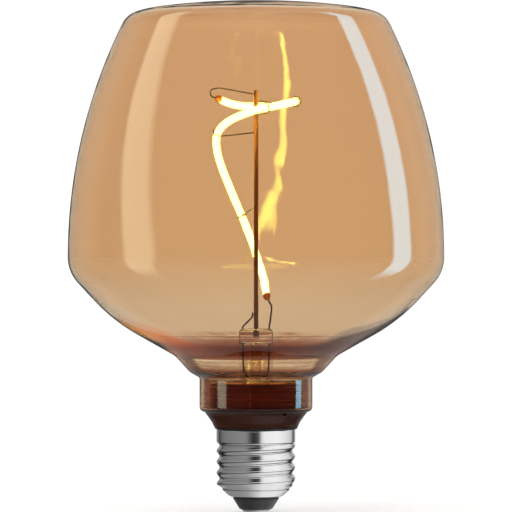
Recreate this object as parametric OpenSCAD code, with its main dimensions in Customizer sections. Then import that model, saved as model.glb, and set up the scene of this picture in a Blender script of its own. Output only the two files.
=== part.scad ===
// Large amber filament bulb with an E27 screw cap and a radio-controlled driver in its neck.
// Millimetres. +Z runs up the lamp's axis, and the origin is the face of the centre contact.

/* [Glass envelope] */
// Diameter of the envelope at its widest ring
envelope_d = 124.5; // [118:0.2:132]
// Height of the widest ring above the top of the neck
widest_h = 40.1; // [38:0.1:46]
// Radius of the barrel's side in section
barrel_bend_r = 174; // [160:1:220]
// Height of the barrel from the widest ring to the crown's edge
barrel_h = 77; // [68:0.1:84]
// Radius of the crown's edge in section
crown_edge_r = 7.2; // [5:0.5:11]
// Radius of the blend from the crown's edge to its dome
crown_blend_r = 29.5; // [24:1:36]
// Radius of the shoulder under the widest ring
shoulder_r = 12.6; // [8:0.1:13]
// Thickness of the glass on the barrel and crown
barrel_wall = 1; // [0.8:0.1:1.4]
// Thickness of the glass where the bowl runs down to the neck
bowl_wall = 2.2; // [1.4:0.1:2.6]

/* [Glass neck] */
// Outer diameter of the glass neck
neck_d = 37.4; // [36:0.1:42]
// Height of the glass neck
neck_h = 11.2; // [9:0.1:14]
// Thickness of the glass in the neck
neck_wall = 1.2; // [1:0.1:1.4]
// Outer radius of the rounded lip that closes the neck
lip_edge_r = 1.6; // [1.5:0.1:2]

/* [Glass stem] */
// Thickness of the flare's and the stem's glass
flare_wall = 0.9; // [0.7:0.1:1.1]
// Height of one rib around the flare
rib_pitch = 1.15; // [1:0.05:1.6]
// Depth of the grooves between the ribs
rib_depth = 0.25; // [0.1:0.05:0.35]
// Diameter of the stem tube
stem_d = 11.4; // [10:0.1:13]
// Height of the stem above the flare
stem_h = 15.8; // [13:0.1:19]
// Height of the solid press at the stem's top
press_h = 3.6; // [3:0.1:5]
// Diameter of the exhaust tube
exhaust_d = 3.6; // [3:0.1:4.2]

/* [Frame and filament] */
// Diameter of the support rod
rod_d = 1.5; // [1.2:0.1:2]
// Length of the support rod
rod_h = 81.6; // [78:0.1:84]
// Depth that the rod stands in the press
rod_seat = 2.3; // [1.5:0.1:2.6]
// Diameter of the lead wires
lead_d = 0.6; // [0.4:0.05:0.7]
// Diameter of the hook wires and the top arm
hook_d = 0.45; // [0.35:0.05:0.6]
// Diameter of the silicone filament
filament_d = 2.4; // [2:0.1:2.8]
// Radius of the loop that the filament makes round the rod
loop_r = 12.9; // [11:0.1:14]
// Gap between the filament and a hook's eye
eye_gap = 0.2; // [0.1:0.05:0.3]
// Length of the metal terminals at the filament's ends
terminal_h = 2.6; // [2:0.1:3]

/* [Driver housing] */
// Height of the skirt between the cap and the glass
skirt_h = 5; // [4.5:0.1:8]
// Diameter of the skirt's top, on which the glass stands
flange_d = 34; // [33.6:0.1:35]
// Diameter of the driver's tube inside the neck
tube_d = 29.2; // [28:0.1:30]
// Thickness of the housing's wall
housing_wall = 1.4; // [1.2:0.1:1.6]
// Thickness of the housing's cover
cover_t = 1.2; // [1:0.1:1.6]
// Diameter of the wire hole in the cover
cover_hole_d = 6; // [5:0.1:8]

/* [Screw cap] */
// Diameter over the thread's crests and the plain rim
cap_d = 26.2; // [26.05:0.05:26.3]
// Diameter at the bottom of the thread
cap_root_d = 24.3; // [24.1:0.05:24.5]
// Pitch of the thread
thread_pitch = 3.629; // [3.6:0.001:3.66]
// Height of the cap's rim above the contact
cap_h = 27.4; // [26.5:0.1:28]
// Height of the plain rim above the thread
rim_h = 4.2; // [3.5:0.1:5]
// Thickness of the cap's sheet metal
cap_wall = 0.3; // [0.25:0.01:0.32]
// Height of the sealing bead on the rim
bead_h = 0.6; // [0.4:0.05:0.8]
// Diameter of the hole in the cap's bowl
bowl_d = 15.4; // [14.6:0.1:16]
// Height of the insulator's cone
insulator_h = 4; // [3.4:0.1:4.4]
// Diameter of the centre contact
contact_d = 9; // [8:0.1:9.6]
// Height of the contact's face below the insulator
contact_t = 0.6; // [0.5:0.1:0.8]

/* [Driver] */
// Thickness of the driver board
board_t = 1; // [0.8:0.1:1.2]
// Width of the board's tongue in the cap
tongue_w = 18.6; // [17:0.1:19]
// Width of the board's head in the neck
head_w = 24; // [22:0.1:25]
// Diameter of the bulk capacitor
bulk_d = 8; // [6:0.5:8.5]
// Length of the bulk capacitor
bulk_h = 11.5; // [8:0.5:13]
// Diameter of the inductor's core
core_d = 8; // [7:0.5:9]
// Length of the inductor's core
core_h = 8; // [7:0.5:9]

/* [Hidden] */
$fn = 72;

fit = 0.3;          // clearance between pieces that do not touch
seat_gap = 0.05;    // clearance round a wire in its own hole
solder_gap = 0.1;   // solder between a part and the board

// Heights up the lamp, each from the one before it
insulator_z = contact_t;
bowl_z = insulator_z + insulator_h;
thread_z = bowl_z + 3;
thread_top_z = cap_h - rim_h;
spigot_z = bowl_z + 5.9;
housing_z = cap_h + bead_h;
ledge_z = housing_z + housing_wall;
flange_z = housing_z + skirt_h;
lip_z = flange_z + neck_wall;
neck_z = flange_z + neck_h;
widest_z = neck_z + widest_h;
flare_z = neck_z;
stem_z = flare_z + stem_h;
press_z = stem_z - press_h;
rod_z = stem_z - rod_seat;
rod_top = rod_z + rod_h;
cover_z = flare_z - flare_wall - fit;
tube_z = cover_z - cover_t;

// Radii
envelope_r = envelope_d / 2;
neck_r = neck_d / 2;
flare_r = neck_r - neck_wall - fit;
lip_r = flare_r - flare_wall;
stem_r = stem_d / 2;
flange_r = flange_d / 2;
tube_r = tube_d / 2;
rod_r = rod_d / 2;
lead_r = lead_d / 2;
hook_r = hook_d / 2;
filament_r = filament_d / 2;
cap_r = cap_d / 2;
root_r = cap_root_d / 2;
bowl_r = bowl_d / 2;
contact_r = contact_d / 2;
spigot_r = root_r - cap_wall - 0.25;
spigot_in_r = spigot_r - housing_wall;
tube_in_r = tube_r - housing_wall;

// ---- Curves ----

function unit(v) = v / norm(v);

function arc_points(centre, r, from, to, steps) =
    [for (i = [0:steps]) let (a = from + (to - from) * i / steps) centre + r * [cos(a), sin(a)]];

// Points of one rounded corner b between its neighbours a and c, where b is [x, y, radius]
function corner_points(a, b, c, steps) =
    let (p = [b[0], b[1]], u = unit([a[0], a[1]] - p), v = unit([c[0], c[1]] - p),
        half = acos(max(-1, min(1, u * v))) / 2)
    b[2] <= 0 ? [p] :
    let (centre = p + unit(u + v) * b[2] / sin(half),
        s = p + u * b[2] / tan(half), e = p + v * b[2] / tan(half),
        from = atan2(s[1] - centre[1], s[0] - centre[0]),
        turn = atan2(e[1] - centre[1], e[0] - centre[0]) - from)
    arc_points(centre, b[2], from, from + turn - 360 * round(turn / 360), steps);

// An outline through corners [x, y, radius], rounded at each inner corner
function rounded_path(corners, steps = 4) =
    let (last = len(corners) - 1)
    [for (i = [0:last])
        each (i == 0 || i == last ? [[corners[i][0], corners[i][1]]]
            : corner_points(corners[i - 1], corners[i], corners[i + 1], steps))];

// A smooth curve through points, which passes through each of them
function smooth(points, steps) =
    let (last = len(points) - 1)
    [for (i = [0:last - 1], j = [0:steps - 1])
        let (a = points[max(i - 1, 0)], b = points[i], c = points[i + 1],
            d = points[min(i + 2, last)], t = j / steps)
        (2 * b + (c - a) * t + (2 * a - 5 * b + 4 * c - d) * t * t
            + (3 * b - 3 * c + d - a) * t * t * t) / 2,
        points[last]];

function path_dir(path, i) = unit(path[min(i + 1, len(path) - 1)] - path[max(i - 1, 0)]);

function square_to(v, dir) = unit(v - dir * (v * dir));

// A tube along a path, with one radius for each point of the path
module swept(path, radii, sides = 8) {
    last = len(path) - 1;
    first_dir = path_dir(path, 0);
    start = square_to(abs(first_dir[2]) > 0.9 ? [1, 0, 0] : [0, 0, 1], first_dir);
    across = [for (i = 0, s = start; i <= last; i = i + 1, s = square_to(s, path_dir(path, i))) s];
    points = [for (i = [0:last], j = [0:sides - 1])
        let (a = 360 * j / sides, side = across[i])
        path[i] + radii[i] * (cos(a) * side + sin(a) * cross(path_dir(path, i), side))];
    walls = [for (i = [0:last - 1], j = [0:sides - 1])
        let (k = (j + 1) % sides, a = i * sides)
        each [[a + j, a + sides + j, a + k], [a + k, a + sides + j, a + sides + k]]];
    ends = [[for (j = [0:sides - 1]) j], [for (j = [sides - 1:-1:0]) last * sides + j]];
    polyhedron(points, concat(ends, walls), convexity = 6);
}

module wire(path, r, sides = 8) {
    swept(path, [for (p = path) r], sides);
}

module ring(r_out, r_in, h, z) {
    translate([0, 0, z]) difference() {
        cylinder(r = r_out, h = h);
        translate([0, 0, -1]) cylinder(r = r_in, h = h + 2);
    }
}

module block(size, at) {
    translate(at) cube(size, center = true);
}

// ---- Glass ----

// Directions of the crown's arcs, as the angle of their normals above the horizon
crown_a = asin(barrel_h / barrel_bend_r);
blend_a = 72;
dome_a = 82.2;

// The barrel and crown from the apex down to the widest ring, moved in by a wall
function crown_outline(inset) =
    let (side_c = [envelope_r - barrel_bend_r, widest_z],
        edge_c = side_c + (barrel_bend_r - crown_edge_r) * [cos(crown_a), sin(crown_a)],
        blend_c = edge_c + (crown_edge_r - crown_blend_r) * [cos(blend_a), sin(blend_a)],
        dome_r = crown_blend_r + blend_c[0] / cos(dome_a),
        dome_c = blend_c + (crown_blend_r - dome_r) * [cos(dome_a), sin(dome_a)],
        dome = arc_points(dome_c, dome_r - inset, 90, dome_a, 5),
        blend = arc_points(blend_c, crown_blend_r - inset, dome_a, blend_a, 3),
        edge = arc_points(edge_c, crown_edge_r - inset, blend_a, crown_a, 5),
        side = arc_points(side_c, barrel_bend_r - inset, crown_a, 0, 9))
    concat([[0, dome[0][1]]], [for (i = [1:5]) dome[i]], [for (i = [1:3]) blend[i]],
        [for (i = [1:5]) edge[i]], [for (i = [1:9]) side[i]]);

// Corners of the bowl and neck below the widest ring, outside and inside: the glass gathers toward
// the foot of the bowl, where its inner skin runs flatter than the outer one
shoulder_z = widest_z - shoulder_r * 0.4;
slope_z = neck_z + widest_h * 0.471;
slope_r = envelope_r - (shoulder_z - slope_z) * 0.915;
bore_r = neck_r - neck_wall;
outer_corners = [
    [envelope_r, widest_z, 0],
    [envelope_r, shoulder_z, shoulder_r],
    [slope_r, slope_z, 60],
    [neck_r + 8.2, neck_z + 7.3, 7.9],
    [neck_r + 3.2, neck_z + 1.9, 2.8],
    [neck_r, neck_z, 0.8],
    [neck_r, flange_z, lip_edge_r],
    [lip_r, flange_z, 0]];
inner_corners = [
    [envelope_r - barrel_wall, widest_z, 0],
    [envelope_r - barrel_wall, shoulder_z + barrel_wall * 0.5, shoulder_r - barrel_wall],
    [slope_r, slope_z + bowl_wall * 0.45, 56],
    [neck_r + 8.2 - bowl_wall * 1.21, neck_z + 7.3 + bowl_wall * 1.06, 2.8],
    [neck_r + 3.2 - bowl_wall * 0.29, neck_z + 1.9 + bowl_wall * 1.57, 0.25],
    [neck_r + bowl_wall * 0.29, neck_z + bowl_wall * 1.67, 3],
    [bore_r, neck_z + bowl_wall * 1.27, 0.8],
    [bore_r, lip_z, 0.4],
    [lip_r, lip_z, 0]];

function tail(points) = [for (i = [1:len(points) - 1]) points[i]];
function reversed(points) = [for (i = [len(points) - 1:-1:0]) points[i]];

module glass_envelope() {
    outer = concat(crown_outline(0), tail(rounded_path(outer_corners)));
    inner = concat(crown_outline(barrel_wall), tail(rounded_path(inner_corners)));
    color([0.82, 0.6, 0.38, 0.45]) rotate_extrude() polygon(concat(outer, reversed(inner)));
}

// The ribs around the flare's side, from its foot up
flare_edge = lip_edge_r / 4;
rib_count = floor((flare_z - lip_z - flare_edge - 0.3) / rib_pitch);
flare_side = [for (i = [0:rib_count - 1])
    let (z = lip_z + flare_edge + i * rib_pitch)
    each [[flare_r, z + rib_pitch * 0.15], [flare_r, z + rib_pitch * 0.65],
        [flare_r - rib_depth, z + rib_pitch * 0.9]]];

// x places of the two lead wires in the press
lead_x = stem_r - flare_wall - 0.4;

module stem_flare() {
    stem_in_r = stem_r - flare_wall;
    outline = concat([[lip_r, lip_z], [flare_r - flare_edge, lip_z], [flare_r, lip_z + flare_edge]],
        flare_side,
        rounded_path([[flare_r, flare_z - 0.3, 0], [flare_r, flare_z, 0.3], [stem_r, flare_z, 0.8],
            [stem_r, stem_z, 1.4], [0, stem_z, 0]], 3),
        [[0, press_z], [stem_in_r, press_z], [stem_in_r, flare_z - flare_wall],
            [lip_r, flare_z - flare_wall]]);
    color([0.8, 0.6, 0.4, 0.5]) difference() {
        rotate_extrude() polygon(outline);
        translate([0, 0, rod_z]) cylinder(r = rod_r + seat_gap, h = rod_seat + 1);
        for (x = [-lead_x, lead_x])
            translate([x, 0, press_z - 1]) cylinder(r = lead_r + seat_gap, h = press_h + 2, $fn = 24);
    }
}

// The exhaust tube hangs from the press, with its lower end melted shut
module exhaust_tube() {
    r = exhaust_d / 2;
    tip_z = cover_z + fit;
    bore_r = r - 0.6;
    color([0.85, 0.7, 0.5, 0.5]) rotate_extrude() polygon(concat(
        [[bore_r, press_z], [bore_r, tip_z + 2], [0, tip_z + 1.2]],
        [for (a = [0:15:90]) [r * sin(a), tip_z + r * (1 - cos(a))]],
        [[r, press_z]]));
}

// ---- Rod, filament and wires ----

// The filament's route as [angle anticlockwise from +X, share of the loop's radius, share of the
// rod's length below its top]
filament_route = [
    [172, 0.946, 0.0355], [125, 0.969, 0.0539], [90, 0.969, 0.0588], [55, 1, 0.0551],
    [0, 1.023, 0.0453], [-40, 1, 0.0588], [-74, 1, 0.0772], [-90, 1, 0.087], [-125, 1, 0.1201],
    [-155, 1, 0.1569], [-180, 1.023, 0.2034], [-203, 1.039, 0.2757], [-221, 1, 0.3627],
    [-236, 0.938, 0.4498], [-251, 0.891, 0.5368], [-264, 0.822, 0.6238], [-275, 0.729, 0.6961],
    [-288, 0.597, 0.7684], [-303, 0.488, 0.826]];
filament_line = smooth([for (s = filament_route)
    [s[1] * loop_r * cos(s[0]), s[1] * loop_r * sin(s[0]), rod_top - s[2] * rod_h]], 3);
filament_start = filament_line[0];
filament_end = filament_line[len(filament_line) - 1];
start_dir = unit(filament_start - filament_line[1]);
end_dir = unit(filament_end - filament_line[len(filament_line) - 2]);

module filament() {
    color([1, 0.93, 0.7]) wire(filament_line, filament_r, 10);
}

// A crimped terminal from a filament end outwards, tapering to its tail
function terminal_path(at, dir) = [for (t = [0, 0.45, 0.75, 1]) at + dir * terminal_h * t];

module terminal(at, dir) {
    color([0.72, 0.38, 0.16])
        swept(terminal_path(at, dir), [filament_r + 0.15, filament_r + 0.15, 0.8, 0.5], 10);
}

module top_terminal() { terminal(filament_start, start_dir); }
module bottom_terminal() { terminal(filament_end, end_dir); }

// The arm from the rod's top bends over and comes down on the top terminal's tail
top_tail = filament_start + start_dir * terminal_h;
arm_z = rod_top - 1.2;
arm_line = concat([[0, 0, arm_z], [-rod_r - 0.5, 0, arm_z]], smooth([
    [-rod_r - 1, 0, arm_z + 0.1], [-loop_r * 0.667, -0.3, arm_z + 1.3],
    [-loop_r * 0.946, -0.6, arm_z + 1.9],
    [top_tail[0] - 1.6, top_tail[1] - 0.4, arm_z + 1.2],
    [top_tail[0] - 1.6, top_tail[1] - 0.6, top_tail[2] + 0.5],
    top_tail + start_dir * (hook_r + 0.05)], 4));

module top_arm() {
    color([0.45, 0.3, 0.18]) wire(arm_line, hook_r);
}

// A hook leaves the rod and makes an eye round the filament
eye_r = filament_r + eye_gap + hook_r;
function hook_line(spot, drop) =
    let (centre = filament_line[spot], along = path_dir(filament_line, spot),
        root = [0, 0, rod_top - drop * rod_h],
        u = square_to(root - centre, along), v = cross(along, u),
        touch = centre + eye_r * v,
        inward = unit([touch[0], touch[1], 0]))
    concat([root, root + inward * (rod_r + 0.6), touch + u * 1.2],
        [for (a = [90:25:390]) centre + eye_r * (cos(a) * u + sin(a) * v)]);

// [index along the filament, share of the rod's length from its top down to the hook's root]
left_hook = [28, 0.1716];
right_hook = [12, 0.0429];
front_hook = [18, 0.098];
lower_hook = [41, 0.4743];

module hook(place) {
    color([0.45, 0.3, 0.18]) wire(hook_line(place[0], place[1]), hook_r);
}

module hook_left() { hook(left_hook); }
module hook_right() { hook(right_hook); }
module hook_front() { hook(front_hook); }
module hook_lower() { hook(lower_hook); }

// The rod is drilled where the arm and the hooks enter it
module support_rod() {
    color([0.6, 0.36, 0.16]) difference() {
        translate([0, 0, rod_z]) cylinder(r = rod_r, h = rod_h, $fn = 32);
        rod_hole(arm_z, 180);
        for (place = [left_hook, right_hook, front_hook, lower_hook]) {
            root = hook_line(place[0], place[1]);
            rod_hole(root[0][2], atan2(root[1][1], root[1][0]));
        }
    }
}

module rod_hole(z, angle) {
    translate([0, 0, z]) rotate([0, 0, angle]) rotate([0, 90, 0])
        translate([0, 0, -hook_r]) cylinder(r = hook_r + seat_gap, h = rod_d, $fn = 24);
}

// Both leads start at the driver board's head and pass up through the press
board_top = tube_z - fit;
pad_x = 2.2;
pad_y = board_t / 2 + solder_gap + lead_r;
function lead_foot(side) = [
    [side * pad_x, side * pad_y, board_top - 3], [side * pad_x, side * pad_y, board_top],
    [side * pad_x, side * pad_y, cover_z + 0.5], [side * lead_x, 0, flare_z + 3],
    [side * lead_x, 0, press_z - 1], [side * lead_x, 0, stem_z + 0.4]];

module filament_lead_wire() {
    tail_end = filament_end + end_dir * terminal_h;
    color([0.3, 0.24, 0.18]) wire(concat(lead_foot(1), smooth([
        [lead_x + 0.1, 0, stem_z + 1], [tail_end[0] + 1.3, tail_end[1] * 0.6, tail_end[2] - 2.5],
        [tail_end[0] + 0.6, tail_end[1], tail_end[2] - 1.1],
        tail_end + end_dir * (lead_r + 0.05)], 3)), lead_r);
}

module rod_lead_wire() {
    weld_x = rod_r + lead_r + 0.05;
    color([0.3, 0.24, 0.18]) wire(concat(lead_foot(-1), [
        [-lead_x, 0, stem_z + 0.7], [-weld_x - 0.3, 0, stem_z + 3.6], [-weld_x, 0, stem_z + 4.4],
        [-weld_x, 0, stem_z + 5.6]]), lead_r);
}

// ---- Driver housing ----

module driver_housing() {
    skirt = rounded_path([[cap_r + 0.85, housing_z, 0], [cap_r + 1.43, housing_z + skirt_h * 0.29, 6],
        [flange_r, flange_z, 0]], 4);
    rail_w = spigot_in_r - tongue_w / 2;
    rail_h = 14;
    outline = concat([[spigot_in_r, spigot_z], [spigot_r, spigot_z], [spigot_r, housing_z]], skirt,
        [[tube_r, flange_z], [tube_r, tube_z], [tube_in_r, tube_z], [tube_in_r, ledge_z],
            [spigot_in_r, ledge_z]]);
    slot_w = board_t + 2 * seat_gap;
    color([0.2, 0.12, 0.08]) {
        difference() {
            rotate_extrude() polygon(outline);
            // The groove that the neutral wire lies in, outside the spigot
            block([1.4, 1, 8], [-spigot_r, 0, spigot_z + 3]);
            // The key slot under the flange's front edge
            rotate([0, 0, -56]) block([1.4, 2, 0.5], [flange_r - 0.5, 0, flange_z - 0.6]);
        }
        // Rails on both sides of the board's tongue
        for (x = [-1, 1], y = [-1, 1]) intersection() {
            block([rail_w + 1.2, 0.8, rail_h],
                [x * (spigot_in_r - rail_w / 2), y * (slot_w / 2 + 0.4), spigot_z + rail_h / 2]);
            cylinder(r = spigot_in_r + 0.3, h = housing_z);
        }
    }
}

module housing_cover() {
    plug_r = tube_in_r - 0.1;
    color([0.26, 0.16, 0.1]) rotate_extrude() polygon([
        [cover_hole_d / 2, cover_z], [tube_r, cover_z], [tube_r, tube_z], [plug_r, tube_z],
        [plug_r, tube_z - 1.5], [plug_r - 0.9, tube_z - 1.5], [plug_r - 0.9, tube_z],
        [cover_hole_d / 2, tube_z]]);
}

module neck_adhesive() {
    color([0.75, 0.7, 0.6]) ring(lip_r, tube_r, neck_wall, flange_z);
}

// ---- Screw cap ----

module cap_sealant() {
    bead_r = 0.3;
    middle = cap_r + 0.6 - bead_r;
    color([0.05, 0.05, 0.05]) rotate_extrude() polygon(concat([[spigot_r + 0.1, cap_h]],
        [for (a = [-60:30:60])
            [middle + bead_r * cos(a), cap_h + bead_h / 2 * (1 + sin(a) / sin(60))]],
        [[spigot_r + 0.1, housing_z]]));
}

// Radius of the rolled thread: a wave between root and crest that dies out at both ends, and draws
// in to the bowl's slope at its foot
crest_z = thread_z + 3.35;
foot_draw = 1;
function ease(t) = let (s = max(0, min(1, t))) s * s * (3 - 2 * s);
function thread_r(a, z) =
    let (wave = pow((1 + cos(360 * (z - crest_z) / thread_pitch - a)) / 2, 0.9),
        fade_in = ease((z - thread_z) / 1.6),
        rise = ease((z - thread_top_z + 1.5) / 1.5),
        foot = ease((thread_z + 1.2 - z) / 1.2))
    root_r + (cap_r - root_r) * max(wave * fade_in, rise) - foot_draw * foot;

// The threaded band as a grid of rings, its ends inside the walls of the rim and the bowl
module thread_band() {
    steps_round = 40;
    steps_up = 34;
    z_from = thread_z - 0.3;
    z_to = thread_top_z + 0.3;
    inset = 0.06;
    function skin(wall) = [for (i = [0:steps_up], j = [0:steps_round - 1])
        let (a = 360 * j / steps_round, z = z_from + (z_to - z_from) * i / steps_up,
            r = thread_r(a, z) - wall)
        [r * cos(a), r * sin(a), z]];
    count = (steps_up + 1) * steps_round;
    function quads(base, flip) = [for (i = [0:steps_up - 1], j = [0:steps_round - 1])
        let (k = (j + 1) % steps_round, a = base + i * steps_round,
            q = [a + j, a + steps_round + j, a + steps_round + k, a + k])
        each (flip ? [[q[0], q[2], q[1]], [q[0], q[3], q[2]]] : [[q[0], q[1], q[2]], [q[0], q[2], q[3]]])];
    function rim(row, flip) = [for (j = [0:steps_round - 1])
        let (k = (j + 1) % steps_round, o = row * steps_round,
            q = [o + j, o + k, count + o + k, count + o + j])
        each (flip ? [[q[0], q[2], q[1]], [q[0], q[3], q[2]]] : [[q[0], q[1], q[2]], [q[0], q[2], q[3]]])];
    polyhedron(concat(skin(inset), skin(cap_wall - inset)),
        concat(quads(0, false), quads(count, true), rim(0, false), rim(steps_up, true)), convexity = 8);
}

module cap_shell() {
    foot_r = root_r - foot_draw;
    turn_in = [bowl_r + 1.6, bowl_z + 0.8, 2];
    turn_up = [foot_r, thread_z - 0.45, 0.8];
    bowl = rounded_path([[bowl_r, bowl_z, 0], turn_in, turn_up, [foot_r, thread_z, 0]], 4);
    bowl_in = rounded_path([[bowl_r - cap_wall, bowl_z, 0], turn_in + cap_wall * [-0.57, 0.82, -1],
        turn_up + cap_wall * [-1, 0.43, -1], [foot_r - cap_wall, thread_z, 0]], 4);
    color([0.78, 0.78, 0.8]) {
        thread_band();
        ring(cap_r, cap_r - cap_wall, cap_h - thread_top_z, thread_top_z);
        rotate_extrude() polygon(concat(bowl, reversed(bowl_in)));
    }
}

module cap_insulator() {
    shoulder = bowl_r - cap_wall - 0.15;
    color([0.1, 0.1, 0.11]) rotate_extrude() polygon(concat(
        rounded_path([[contact_r / 3 + seat_gap, insulator_z, 0], [contact_r + 0.8, insulator_z, 1.2],
            [bowl_r - 0.1, bowl_z - 0.4, 0.3], [bowl_r - 0.1, bowl_z, 0]], 3),
        [[shoulder, bowl_z], [shoulder - 0.3, bowl_z + 1.4], [contact_r / 3 + seat_gap, bowl_z + 1.4]]));
}

module centre_contact() {
    shank_r = contact_r / 3;
    eye = shank_r - 0.4;
    color([0.7, 0.7, 0.68]) rotate_extrude() polygon(concat([[eye, 0]],
        rounded_path([[eye + 0.2, 0, 0], [contact_r, 0, 0.45], [contact_r, insulator_z, 0]], 3),
        [[shank_r, insulator_z], [shank_r, insulator_z + 2], [eye, insulator_z + 2]]));
}

module contact_solder() {
    r = contact_r / 3 - 0.4;
    color([0.62, 0.62, 0.64]) difference() {
        rotate_extrude() polygon([[0, 0.15], [r * 0.6, 0.1], [r, 0.2], [r, 1.8], [0, 1.8]]);
        translate([0, 0, 0.9]) cylinder(r = lead_r + seat_gap, h = 2, $fn = 24);
    }
}

// ---- Driver ----

board_z = bowl_z + 7.4;
board_face = board_t / 2 + solder_gap;

module driver_board() {
    color([0.1, 0.35, 0.2]) difference() {
        rotate([90, 0, 0]) linear_extrude(board_t, center = true) polygon([
            [-tongue_w / 2, board_z], [tongue_w / 2, board_z], [tongue_w / 2, ledge_z],
            [head_w / 2, ledge_z], [head_w / 2, board_top - 2.5], [head_w / 2 - 2.5, board_top - 2.5],
            [head_w / 2 - 2.5, board_top], [2.5 - head_w / 2, board_top],
            [2.5 - head_w / 2, board_top - 2.5], [-head_w / 2, board_top - 2.5],
            [-head_w / 2, ledge_z], [-tongue_w / 2, ledge_z]]);
        for (x = [0, -7.5])
            translate([x, 0, board_z + 1.5]) rotate([90, 0, 0])
                cylinder(r = lead_r + seat_gap, h = 3, center = true, $fn = 24);
    }
}

// A flat chip on the board's front (side -1) or back (side 1)
module chip(size, x, z, side) {
    block([size[0], size[1], size[2]], [x, side * (board_face + size[1] / 2), z]);
}

// Gull-wing legs in two rows beside a chip
module chip_legs(size, x, z, side, count, pitch) {
    for (i = [0:count - 1], s = [-1, 1])
        block([0.4, board_face + size[1] / 2 - board_t / 2, 0.9],
            [x + (i - (count - 1) / 2) * pitch,
                side * (board_t / 2 + (board_face + size[1] / 2 - board_t / 2) / 2),
                z + s * (size[2] / 2 + 0.45)]);
}

module bridge_rectifier() {
    size = [4.7, 1.8, 3.9];
    x = -5.6;
    z = board_z + 17.5;
    color([0.08, 0.08, 0.08]) {
        chip(size, x, z, -1);
        chip_legs(size, x, z, -1, 2, 2.5);
    }
}

module bulk_capacitor() {
    z = board_z + 4;
    color([0.12, 0.12, 0.3]) translate([0, board_face + bulk_d / 2, z]) {
        cylinder(d = bulk_d, h = bulk_h, $fn = 48);
        for (x = [-1.25, 1.25]) translate([x, 0, -1.6]) cylinder(r = 0.3, h = 1.6, $fn = 16);
    }
}

module film_capacitor() {
    size = [7.2, 3.4, 7.6];
    z = board_z + 7.2;
    color([0.75, 0.55, 0.12]) {
        chip(size, 1.5, z, -1);
        for (x = [-2.5, 2.5])
            block([0.5, board_face + 0.6 - board_t / 2, 1.6],
                [1.5 + x, -(board_face + 0.6 + board_t / 2) / 2, z - size[2] / 2 - 0.8]);
    }
}

module varistor() {
    color([0.1, 0.25, 0.5]) translate([4, -board_face, board_z + 14.8]) rotate([90, 0, 0])
        cylinder(r = 3.2, h = 2.6, $fn = 48);
}

core_place = [2, -(board_face + core_d / 2), ledge_z + 1.6];
core_r = core_d / 2;
core_end = 1.2;
core_waist = core_r - 1.8;
module inductor_core() {
    color([0.2, 0.2, 0.22]) translate(core_place) rotate_extrude() polygon([
        [0, 0], [core_r, 0], [core_r, core_end], [core_waist, core_end],
        [core_waist, core_h - core_end], [core_r, core_h - core_end], [core_r, core_h], [0, core_h]]);
}

module inductor_winding() {
    r = core_r - 0.7;
    turns = 9;
    turn_h = (core_h - 2 * core_end) / turns;
    side = [for (i = [0:turns - 1], s = [0, 0.5])
        [r - (s == 0 ? 0.2 : 0), core_end + (i + s) * turn_h]];
    color([0.72, 0.4, 0.18]) translate(core_place) rotate_extrude() polygon(concat(
        [[core_waist, core_end]], side,
        [[r - 0.2, core_h - core_end], [core_waist, core_h - core_end]]));
}

module driver_ic() {
    size = [5, 1.6, 4];
    x = -6.4;
    z = ledge_z + 7.4;
    color([0.07, 0.07, 0.07]) {
        chip(size, x, z, -1);
        chip_legs(size, x, z, -1, 4, 1.27);
    }
}

// Chip resistors and capacitors as [x, height above the board's foot, side]
smd_places = [[-6, 3.5, 1], [-6, 7, 1], [6.4, 4, 1], [6.4, 8, 1], [-6, 11.5, -1], [-7, 6.5, -1],
    [6.9, 9.5, -1], [7, 22, -1], [8.5, 25.5, -1], [-10, 19, 1], [-10, 22, 1], [10, 19, 1]];
module smd_parts() {
    color([0.55, 0.45, 0.35]) for (p = smd_places)
        block([1.6, 0.9 + solder_gap, 2.4], [p[0], p[2] * (board_t + 0.9 + solder_gap) / 2, board_z + p[1]]);
}

// The radio module stands behind the board on its pin header
radio_t = 0.8;
radio_gap = 2.5;
radio_y = board_t / 2 + radio_gap;
radio_w = 16;
radio_z = ledge_z + 0.8;
radio_h = board_top - radio_z - 2.6;
module radio_board() {
    color([0.1, 0.2, 0.35])
        block([radio_w, radio_t, radio_h], [0, radio_y + radio_t / 2, radio_z + radio_h / 2]);
}

module radio_shield() {
    color([0.75, 0.75, 0.77]) difference() {
        block([10, 1.8, radio_h - 1], [-2, radio_y + radio_t + 0.9, radio_z + radio_h / 2]);
        block([9.6, 1.6, radio_h - 1.4], [-2, radio_y + radio_t + 0.8, radio_z + radio_h / 2]);
    }
}

// The antenna is one printed track that folds up and down beside the shield
module antenna() {
    step = 0.9;
    y = radio_y + radio_t;
    reach = radio_h - 1;
    color([0.8, 0.55, 0.25]) translate([3.6, y, radio_z + 0.5]) {
        for (i = [0:4]) translate([i * step, 0, 0]) cube([0.3, 0.15, reach]);
        for (i = [0:3]) translate([i * step, 0, i % 2 == 0 ? reach - 0.3 : 0]) cube([step + 0.3, 0.15, 0.3]);
    }
}

module pin_header() {
    count = 5;
    pitch = 2;
    z = radio_z + 1.2;
    color([0.12, 0.12, 0.12])
        for (i = [0:count - 1]) {
            x = (i - (count - 1) / 2) * pitch;
            block([pitch, radio_gap, 1.8], [x, board_t / 2 + radio_gap / 2, z]);
        }
}

// The live side runs from the solder through the fusible resistor to the board
resistor_z = bowl_z + 2;
resistor_h = 4.6;
resistor_top = resistor_z + resistor_h;
module fusible_resistor() {
    color([0.2, 0.5, 0.35]) translate([0, 0, resistor_z]) rotate_extrude() polygon(rounded_path([
        [0, 0, 0], [1.4, 0, 0.4], [1.4, resistor_h, 0.4], [0, resistor_h, 0]], 3));
}

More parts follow.
